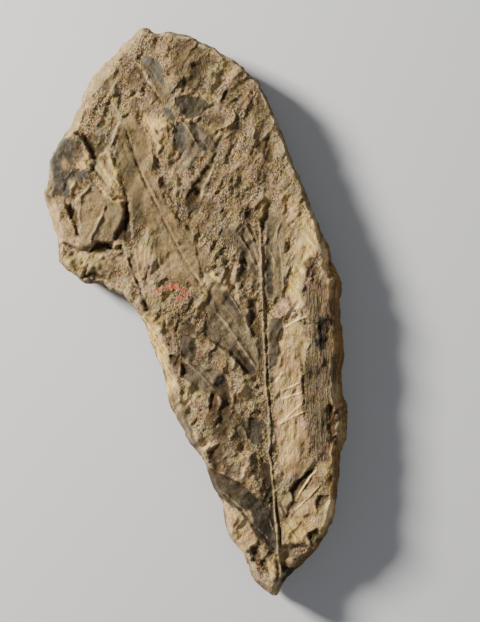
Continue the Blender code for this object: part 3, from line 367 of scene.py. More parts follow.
        (23, 31.2), (26.8, 30.8), (25.9, 27), (25.1, 23.6), (24.6, 20.8), (25.4, 16.4), (25, 10),
        (24.6, 4.8), (22.9, 4.8), (22.7, 14), (22.5, 22)]),
    "fanDarkFoot": patch("darkFilm", 0.4, [
        (22.8, 20), (24.2, 19), (24.8, 12), (24.4, 6), (22.9, 6), (22.7, 14)]),
    "stemStrip": patch("darkFilm", 0.6, [
        (23.5, -4), (25.1, -2), (27.5, -2.2), (27.9, -4), (27.1, -8), (27.5, -12.8), (26.3, -16),
        (23.9, -18.4), (23.5, -16)]),
    "paleTop": dict(level=-0.3, edge=1.2, smooth=0.45, skin="paleTan", outline=[
        (31.6, 19), (32.4, 27), (33.6, 31.6), (38.6, 31.4), (39.8, 24), (37.6, 17.6), (34.6, 13), (33.6, 8),
        (34.4, 3.4), (30, 3.6), (30.6, 12)]),
    "paleCrest": patch("cream", 0.0, [
        (34.3, 29.8), (38.2, 29.6), (39, 27.2), (37.9, 22.4), (38.3, 20), (35.1, 16), (31.9, 16),
        (31.5, 14.4), (29.5, 10.4), (28.7, 5.6), (31, 5), (33.6, 9.6), (34.6, 13.6)]),
    "paleStrip": patch("paleTan", 0.25, [
        (26.6, -4.4), (34.6, -3.4), (35.4, -10), (34, -17), (34.4, -27), (34.8, -36), (36, -44),
        (34.4, -50.4), (31.4, -52.6), (27.2, -53), (26.4, -42), (25.8, -30), (25.2, -20), (27.2, -14)]),
    "paleFoot": patch("cream", 0.2, [
        (28, -65.6), (30, -66.2), (33, -66), (36, -67), (36, -70), (34, -73), (28.4, -75.4)]),
    "greyFoot": patch("paleTan", 0.5, [(33, -65.4), (42.2, -65.2), (42, -68.8), (38, -70), (35, -68.6)]),
    "notchFlank": patch("rosy", 0.5, [
        (38.8, -50.6), (40.6, -53.8), (37, -57.8), (33.6, -61.4), (32.8, -60), (34.6, -56.6)]),
    "notchApron": patch("paleTan", 0.4, [
        (40.2, -55.6), (39.4, -58.6), (39.4, -62.8), (37, -65.4), (32, -65.2), (34.8, -61.4)]),
    "striatedStrip": dict(level=-0.45, edge=2.2, smooth=0.4, skin="fibrous", outline=[
        (34.6, 9), (36.4, 0), (36.9, -10), (34.9, -17), (35, -29), (36.2, -40), (38.6, -48), (42.4, -48),
        (43.2, -40), (43.2, -33), (45.2, -26), (44.8, -14), (43.6, -4), (42.8, 8), (39, 11.4)]),
    "purpleTop": dict(level=-0.3, edge=0.6, skin="plum", outline=[
        (35.1, 16.8), (36.8, 17.4), (38.7, 17), (39, 13), (38.3, 11), (35.9, 11.2), (35, 14)]),
    "charcoal": dict(level=0.4, edge=0.7, skin="charcoal", outline=[
        (38.2, -1.8), (40.3, -0.6), (42.6, -0.2), (42.6, -4), (41.8, -6.6), (42.2, -9), (41.2, -11.6),
        (39.3, -11.8), (37.9, -9), (38.3, -5.6)]),
    "rightShelf": patch("rust", 0.0, [
        (38.6, 31), (40.2, 25), (39.6, 18), (41.6, 13), (41.6, 5), (42.4, -3), (43.2, -13), (44.2, -23),
        (42.6, -31), (42, -41), (42.4, -51), (42, -58), (43, -64), (42.4, -69), (39, -74), (33, -80.6),
        (28.4, -86), (27.6, -94), (55, -94), (55, 30)]),
    "oliveLobe": patch("crust", 0.0, [(46.4, -29), (49.6, -30), (50, -41), (46.4, -44), (46, -36)]),
    "shelfCrest": patch("crust", 0.0, [(40.6, 24), (42.2, 20), (42.6, 13), (40.8, 12.4), (40, 18)]),
    "shelfFace": patch("rosy", 0.0, [(43.1, -23.2), (45, -22.4), (46.3, -26), (45.4, -30), (43.2, -30)]),
    # the facet tilts toward the key light and its cream skin adds painted light on top
    "leftBand": dict(faces=(170, 0.1), smooth=0.3, skin="cream", outline=[
        (-13.4, -1), (-12.6, -2.4), (-10.6, -8.8), (-8.6, -13.6), (-8.2, -17.2), (-6.6, -21.2), (-5, -24),
        (-4.6, -27), (-6.6, -30), (-12, -30), (-20, -10), (-20, 0), (-15.6, 1)]),
    "leftLowBand": patch("greyTan", 0.7, [
        (-4.8, -32), (-2.6, -33), (-1.2, -37), (0.6, -41), (2.5, -44), (1.5, -46.6), (-3, -44), (-7, -36)]),
    "notch": hollow(-2.5, 0.9, "paintedBrownShade", [
        (30.4, -57), (31.2, -55.4), (33.4, -52.8), (36.2, -50.4), (38.4, -49.8), (36.8, -52.6), (34.4, -56),
        (32.6, -59.2), (31.4, -61)], fray=0.4),
    "notchFacet": dict(level=-0.3, edge=0.8, smooth=0.5, skin="olive", outline=[
        (27.4, -57.8), (30, -57.2), (31, -60.8), (29.8, -64.6), (28.2, -61.4)]),
    "wedge": hollow(-1.5, 1.3, "paintedBrownShade", [(33.6, -60.3), (31, -60.8), (29.8, -65.4)]),
    "hole": hollow(-1.6, 0.9, "paintedBrownShade", [
        (38.6, -58.3), (43.4, -57.9), (42, -61.4), (40.8, -63.6), (39, -64.6), (38.8, -61.5)]),
    # the facet is turned toward the key light and its cream skin, with a paler tone blob, adds painted
    # light
    "creamFacet": dict(faces=(160, 0.1), smooth=0.6, skin="cream", outline=[
        (41.8, -60.4), (43.2, -59.4), (44.2, -62), (43.6, -65.4), (42.2, -63.6)]),
    "overhang": hollow(-1.5, 1.2, "paintedBrownShade", [(36.2, -70.4), (39.4, -70), (40.4, -73.8), (37.6, -75)]),
    # a facet turned away from the key light, darkened with the charcoal skin as painted shade
    "darkFacet": dict(level=-0.8, edge=1.0, skin="charcoal", outline=[
        (28, -81.6), (31.4, -81.8), (33, -83.4), (28.6, -89.6), (27.6, -86)]),
    "roughLowerRight": dict(level=-1.4, edge=2.0, outline=[
        (27.6, -75), (36, -74.5), (38, -78), (30, -86), (27.8, -82)]),
    "tipPitLeft": hollow(-1.1, 1.1, "paintedBrownShade", [
        (17.8, -75.4), (19.6, -75.6), (21, -78.6), (20.4, -81.6), (18.8, -79.4)]),
    "tipPitRight": hollow(-1.2, 1.0, "paintedBrownShade", [(21, -79.8), (23.2, -80.2), (23.4, -84.6), (21.8, -83.4)]),
    "tipFacet": patch("cream", 0.7, [(23.7, -79.8), (26.2, -80), (26, -84.6), (24, -85.7), (23.4, -83)]),
    "shelfHollow": hollow(-1.2, 2.0, "paintedBrownShade", [(43, -29), (45.8, -31), (45.5, -43), (43, -41)]),
}

# Edges where the bed to the right of the line stands higher: height, reach, route
scarps = [
    (1.0, 7.0, [(-31.5, 49), (-27.5, 54.5), (-25, 60), (-25, 65), (-28.5, 69.5), (-24, 77)]),
    (0.8, 3.0, [(14, 60), (11.5, 59.8), (7.8, 58.3), (4.5, 56.5)]),
    (0.7, 3.0, [(15, -18.6), (13, -15.7), (9.8, -12), (3.5, -8.4)]),
    (-1.3, 5.0, [(-14.3, 0), (-16.6, 3.5), (-18.8, 9.5), (-20.8, 15), (-21.7, 18.5)]),
]

# Ribs, veins, cracks: rise (negative for a groove), half width, tone as in lineTone, route. The pale tone
# also paints highlight on rims that face the key light, the dark tone paints shade in grooves and on the
# shaded sides of ribs
lines = [
    (0.75, 0.34, 1, [(20.2, 30), (20.6, 27), (20.8, 24), (21, 20), (21.3, 12), (21.5, 5), (21.7, 0),
        (22.1, -10), (22.4, -15), (22.6, -25), (23.5, -30), (23.9, -38), (23.5, -45), (24, -48),
        (24.8, -54), (25.5, -63), (26.2, -71), (26.5, -77), (27.3, -82), (27.6, -85)]),
    (-0.3, 0.2, -1, [(21.9, 27), (22.1, 12), (22.6, 3), (22.8, -6)]),
    (-0.35, 0.2, -1, [(22.8, -4), (23, -12), (23.3, -25), (24, -29), (24.3, -36), (24.1, -40), (24.7, -49),
        (25.5, -57)]),
    (-0.9, 0.34, -1, [(26, -60), (26.3, -64), (27.3, -70), (27.4, -76)]),
    (0.5, 0.85, 0, [(-19.2, 82), (-16.2, 77), (-12.7, 71.9), (-9.3, 68.7), (-6.6, 65.6), (-4.5, 61.8)]),
    (0.3, 0.3, 1, [(-4.6, 61.9), (-2.2, 58.5), (0.2, 54.5), (1.6, 51.4)]),
    (-0.5, 0.45, -1, [(-20.4, 81.4), (-15.9, 74), (-12, 69), (-10.3, 67)]),
    (-0.55, 0.36, -1, [(-11, 68.4), (-12, 65.8)]),
    (-0.52, 0.3, -1, [(-22.8, 60), (-22.2, 58.5), (-20.6, 53.3), (-18.2, 46.5), (-15.4, 40.1),
        (-12.6, 34.5), (-10.2, 29.6), (-7.4, 24), (-5, 19.2), (-2.5, 15), (0.3, 11), (2.5, 8)]),
    (0.3, 0.6, 0, [(-23.4, 57), (-21.7, 52.6), (-19.4, 46.6), (-16.8, 41)]),
    (0.32, 0.34, 0, [(-16.6, 44), (-14.4, 40.2), (-11.8, 35), (-9.4, 30), (-6.6, 24.4), (-4.1, 19.8),
        (-1.6, 15.6), (1.2, 11.6)]),
    (0.17, 0.36, 0, [(-15, 41), (-11, 34.5), (-8, 31.5)]),
    (-0.17, 0.32, -1, [(-8.8, 27), (-8.8, 20), (-8.2, 14), (-7.8, 10)]),
    (-0.14, 0.32, 0, [(-3.5, 25.5), (-1.5, 23), (0.2, 20.5)]),
    (0.3, 0.35, 1, [(-28, 36), (-29.5, 33), (-30.3, 30.5), (-31.5, 28), (-32.6, 25.5), (-35, 21.5)]),
    (-0.2, 0.2, -1, [(-29, 36.2), (-30.5, 33), (-31.3, 30.8), (-33.6, 25.8), (-36, 22)]),
    (-0.33, 0.32, -1, [(-43, 30.7), (-41.5, 29.5), (-39.5, 28), (-38.5, 27.3), (-37.3, 23)]),
    (0.17, 0.32, 1, [(15.3, -5.3), (16.8, -7), (18.3, -9.3)]),
    (0.45, 0.6, 1, [(7.4, -11.6), (10.4, -13.6), (12.4, -15.9), (14, -19)]),
    (0.33, 0.32, 1, [(23.6, -65.5), (24.2, -68), (24.9, -70.5), (25.3, -72)]),
    (0.28, 0.32, 1, [(20, -69.5), (23.5, -73)]), (0.22, 0.32, 1, [(21, -46.3), (22.3, -48), (23.4, -49)]),
    (0.39, 0.88, 0, [(-6.8, 47), (-5.8, 40), (-7, 31.5)]),
    (0.44, 0.72, 1, [(12.6, 17), (13.4, 5), (15, 1), (16, -2), (18, -7)]),
    (0.44, 0.64, 1, [(6, 13.5), (6.8, 11), (8, 9.8), (9.6, 9)]),
    (-0.83, 0.52, -1, [(-21.7, 18.5), (-20.8, 15), (-20, 12), (-18.8, 9.5), (-17.8, 6.5), (-16.6, 3.5),
        (-14.3, 0)]),
    (0.39, 0.52, 1, [(-19.5, 20.5), (-18.7, 17), (-18, 12), (-16.5, 6), (-15, 3)]),
    (0.5, 0.64, 1, [(2.5, -45), (4, -43.8), (6.5, -42)]),
    (0.28, 0.72, 1, [(-12.4, -3), (-10, -9), (-9, -13), (-7, -19.5), (-6, -22), (-4.4, -31)]),
    (0.17, 0.4, 1, [(-2.6, -33), (-1, -37), (0.8, -41), (2.2, -44)]),
    (-0.5, 0.44, -1, [(33.5, -12), (34.4, -18), (34.6, -26)]),
    (-0.61, 0.36, -1, [(32.7, -17.5), (33, -22)]),
    (-0.77, 0.36, -1, [(26.8, -60), (27.8, -62.5), (29.5, -66)]),
    (0.44, 0.56, 1, [(41.5, -60), (42.3, -62), (42.5, -64.6)]),
    (-0.55, 0.4, -1, [(-3.8, 52), (-5, 49.5), (-6.5, 48.5)]),
    (0.28, 0.36, 1, [(-8.6, 60.8), (-7, 59), (-8.4, 57)]), (-0.72, 0.36, -1, [(26.6, -81), (26.4, -85)]),
    (0.39, 0.72, 0, [(24, -79), (25.4, -84), (25.4, -90)]),
    (0.25, 0.4, 0, [(-31.5, 49), (-29, 52), (-27.5, 54.5), (-26.5, 57), (-25, 60), (-24.8, 62), (-25, 65),
        (-26.5, 67), (-28.5, 69.5)]),
    (0.22, 0.32, 1, [(-38.5, 42), (-39.8, 39.5), (-40, 38)]), (0.22, 0.28, 1, [(12.8, -66), (15, -64.2)]),
    (0.45, 0.4, 1, [(13.9, 30), (15.9, 28), (17.5, 25.2), (19.1, 21.6), (19.9, 18.4), (20.7, 15.2),
        (21.3, 12.4)]),
    (0.35, 0.34, 1, [(12.7, 26.4), (13.7, 27.6)]),
    (0.4, 0.36, 1, [(13.1, 25.2), (14.7, 23.2), (16.7, 20.4), (17.9, 17.2), (19.5, 14.8), (20.7, 12)]),
    (0.35, 0.3, 1, [(15.9, 22.4), (17.9, 18.8), (19.9, 14)]),
    (0.35, 0.3, 1, [(17.9, 22.8), (19.9, 16.8), (21.1, 12.8)]),
    (0.3, 0.3, 1, [(18.2, 28), (19.4, 24), (20.4, 19)]),
    (-0.5, 0.42, -1, [(14.3, 25.8), (16.7, 21.4), (19.1, 16.8)]),
    (-0.45, 0.36, -1, [(17.6, 28.4), (19, 24), (20.2, 19)]),
    (0.45, 0.36, 1, [(28.1, 29.6), (26.5, 27.2), (25.9, 24), (26.7, 22.4), (27.5, 18.4), (27.9, 13.2),
        (28.1, 6.4)]),
    (0.3, 0.32, 1, [(22.7, 21.6), (24.7, 18.4), (25.5, 16), (25.1, 12.4)]),
    (-0.55, 0.34, -1, [(26.4, 24), (27.1, 18.4), (27.4, 12.4), (27.4, 6.4)]),
    (-0.3, 0.28, -1, [(28.7, 28.6), (29, 22)]),
    (-0.5, 0.34, -1, [(32.3, 21.2), (30.3, 17.6), (28.9, 13.6)]),
    (-0.4, 0.3, -1, [(31.1, 21.2), (29.6, 18.2)]),
    (0.4, 0.6, 1, [(5.6, 47), (4.3, 43), (2.3, 39.7), (1.6, 36)]),
    (-0.55, 0.5, -1, [(12, 44.4), (11.8, 41), (12.4, 38)]),
    (0.5, 0.32, 2, [(39.8, -49.4), (36.2, -53.2), (34, -56.9), (32.4, -59.6)]),
    (0.5, 0.32, 2, [(40.7, -54.2), (37.2, -58.3), (34.4, -61), (31.4, -64.2)]),
    (0.5, 0.55, 1, [(5.6, 1), (9.9, -3.6), (13.5, -9.2), (17.9, -15.6), (20.3, -19.2)]),
    (0.16, 0.24, 1, [(7, 4.4), (12, -1.6), (16, -8)]),
    (0.3, 0.28, 1, [(10.4, 6.6), (14, 0.8), (16.8, -4.6), (18.8, -9.4)]),
    (-0.9, 0.6, -1, [(3.4, -8.3), (7.7, -10.4), (11.2, -12.8), (13.6, -15.2), (15.8, -18.2),
        (17.7, -20.6)]),
    (0.26, 0.36, 1, [(-4.6, -14.4), (0.6, -19.2), (4.6, -23.2), (6.6, -25.6)]),
    (-0.33, 0.3, -1, [(2.2, -19.6), (6.2, -24.8)]), (0.16, 0.24, 1, [(3.4, -18.8), (7.2, -24.6)]),
    (-0.5, 0.36, -1, [(-5, -0.8), (-6.2, -5.6), (-5.4, -11.2), (-5, -14.8)]),
    (0.3, 0.3, 1, [(8.6, -57.4), (12, -60.4), (15.6, -63.6), (18.4, -67.4)]),
    (0.1, 0.18, 0, [(9, -54), (16, -59.4), (20, -64.6), (23, -70)]),
    (0.3, 0.34, 1, [(19.3, -31.3), (23, -35.8), (23.4, -40.4)]),
    (0.26, 0.32, 1, [(14.3, -34.9), (17, -40.9)]),
    (-0.45, 0.3, -1, [(-39.2, 45.8), (-40.8, 42.8), (-42.5, 37.6)]),
    (0.5, 0.42, 1, [(-30.6, 48), (-29, 45.6), (-27, 42.8)]),
    (0.55, 0.45, 1, [(-28.7, 51.8), (-26.8, 48.2), (-25.6, 45.4), (-24.7, 42)]),
    (0.4, 0.36, 1, [(-32.7, 42.6), (-31.2, 40.4)]),
    (0.55, 0.45, 1, [(-30.4, 39.8), (-27.4, 36.6), (-25, 35)]),
    (0.4, 0.36, 1, [(-26.3, 40.3), (-23.4, 36.6), (-22.4, 35.6)]),
    (-0.5, 0.45, -1, [(-30.2, 50), (-28.6, 47.4), (-27.4, 45.4)]),
    (-0.62, 0.55, -1, [(-33, 47), (-31, 44), (-29, 41.4), (-27.6, 39.4)]),
    (-0.45, 0.4, -1, [(-28, 41), (-26.6, 39.2), (-24.4, 36.6)]),
    (0.3, 0.3, 1, [(-14.4, 60.6), (-12.2, 55.4), (-10.9, 53.2)]),
    (0.3, 0.3, 1, [(-13.4, 63.4), (-11, 58.6)]), (-0.3, 0.3, -1, [(-13.4, 60.8), (-11.2, 55.6)]),
    (0.3, 0.36, 1, [(-2.8, 61.6), (-0.2, 62.1), (2.3, 63.5), (4.4, 65.6)]),
    (-0.14, 0.22, -1, [(-3, 64.6), (2.5, 68.4)]), (-0.14, 0.22, -1, [(-2.6, 63.6), (3.4, 66.2)]),
    (0.3, 0.4, 1, [(11.8, 66), (12.7, 63.3), (11.9, 60.2), (10, 58.8)]),
    (-0.45, 0.36, -1, [(7.6, 58), (10, 57.7), (12, 58.8), (13.2, 60)]),
    (0.28, 0.3, 1, [(-3.4, 51.7), (-1.8, 47.7)]),
    (0.4, 0.44, 1, [(43.1, -14.4), (43.6, -20), (43.7, -28.4)]), (0.35, 0.44, 1, [(42.4, 7.6), (43, 0)]),
    (-0.35, 0.5, -1, [(34.5, -19.2), (35.1, -35.3)]), (0.3, 0.4, 1, [(46.6, -30), (46.9, -40)]),
    (-0.3, 0.3, -1, [(-14.6, 16), (-16.6, 8)]), (-0.2, 0.24, -1, [(-20.8, 49.2), (-23.7, 43.5)]),
    (-0.2, 0.24, -1, [(-23, 42.4), (-19.4, 43.6)]),
    (-0.2, 0.24, -1, [(-18.4, 31.8), (-16, 31), (-13.6, 32.2)]),
    (-0.2, 0.24, -1, [(-17.8, 56.6), (-15.6, 55.2)]),
    (0.5, 0.5, 1, [(-23.4, 64), (-24.4, 60), (-25.6, 56.4), (-27.6, 53), (-29.8, 50.2)]),
    (-0.9, 0.8, -1, [(5, -44.6), (6.2, -47.8), (7.2, -51)]),
]

# Round lumps: place, radius, rise
lumps = [
    (-6.5, 73.5, 1.6, 0.9), (-9.5, 84.5, 1.8, 0.6), (8.5, 14.5, 1.7, 0.8), (12.8, 11.5, 1.6, 0.8),
    (6.6, 18.2, 1.5, 0.6), (39.5, -8, 2.0, 0.5), (5, -12.5, 2.2, 0.5), (-40.5, 15.5, 2.0, 0.9),
    (-33.5, 15, 1.8, 0.8), (-27.5, 13.2, 2.0, 0.7), (22, -77.5, 1.3, 0.7), (26, -87.5, 1.5, 0.6),
    (12.6, -48.6, 2.4, 0.5), (31, -79.5, 1.6, 0.8), (18.8, 44, 2.0, 0.5), (10, 37, 2.2, 0.5),
    (6.4, 14.2, 0.9, -0.9), (10.7, 13.4, 0.8, -0.9), (7.1, 11.8, 0.8, -0.7), (19.5, -21.4, 0.9, -0.9),
    (20.3, -24.1, 0.8, -0.9), (-11.4, 43.4, 1.1, 0.4), (29.6, 1.2, 1.9, 0.6), (-31, 16.8, 0.8, -0.7),
    (-36.5, 16.4, 0.7, -0.7), (-39.6, 18.4, 0.7, -0.6), (27.2, -0.2, 0.7, -0.9), (39.5, -8, 1.1, 0.5),
]

# Combed patches of fine ridges: place, half width, half height, turn, run of the ridges in degrees,
# spacing, stretch along the run, rise
combs = [
    (10, 44, 13, 20, -25, 62, 2.1, 5, 0.5), (-29, 44, 7, 10, 30, -56, 0.9, 8, 0.42),
    (-13, 58, 4, 7, 15, -52, 0.9, 5, 0.5), (-14, 34, 6, 26, 27, -62, 1.8, 10, 0.16),
    (18, 18, 7, 14, 0, 84, 1.3, 8, 0.25), (30, -24, 5, 32, 2, 86, 1.5, 6, 0.34),
    (33, 20, 5, 12, -12, 70, 1.5, 6, 0.45), (12, -4, 7, 12, 35, -54, 1.0, 8, 0.3),
    (15, -62, 6, 13, 35, -47, 0.8, 8, 0.3), (34, -58, 8, 9, 0, 55, 1.5, 5, 0.25),
    (2, -26, 8, 12, 20, -58, 1.3, 5, 0.4), (-4, 66, 10, 8, 0, 58, 1.4, 4, 0.3),
    (-30, 64, 6, 12, -20, -50, 1.5, 3, 0.3), (-41, 33, 4, 10, 0, -70, 1.2, 5, 0.3),
    (18, -40, 5, 14, 10, 70, 1.4, 5, 0.4), (24, 56, 5, 14, 20, 75, 1.6, 5, 0.4),
    (-36, 15, 8, 4.5, 0, 20, 0.9, 1.2, 0.5), (-37.5, 38.5, 3.5, 3, 0, 20, 0.9, 1.2, 0.5),
    (8.5, 14, 5, 5, 0, 70, 1.5, 1.5, 0.9), (31, -79, 6, 4, -30, 30, 1.1, 1.3, 0.6),
    (14, -49, 5, 5, 0, 60, 0.9, 1.4, 0.4), (-8, 57, 4.5, 6, 15, -52, 0.8, 4, 0.5),
    (11, 72, 16, 16, -30, 62, 3.4, 2.6, 0.6), (14, 46, 12, 18, -20, 66, 3.2, 3, 0.7),
    (-2, -28, 9, 12, 20, 50, 2.6, 1.6, 0.5),
]

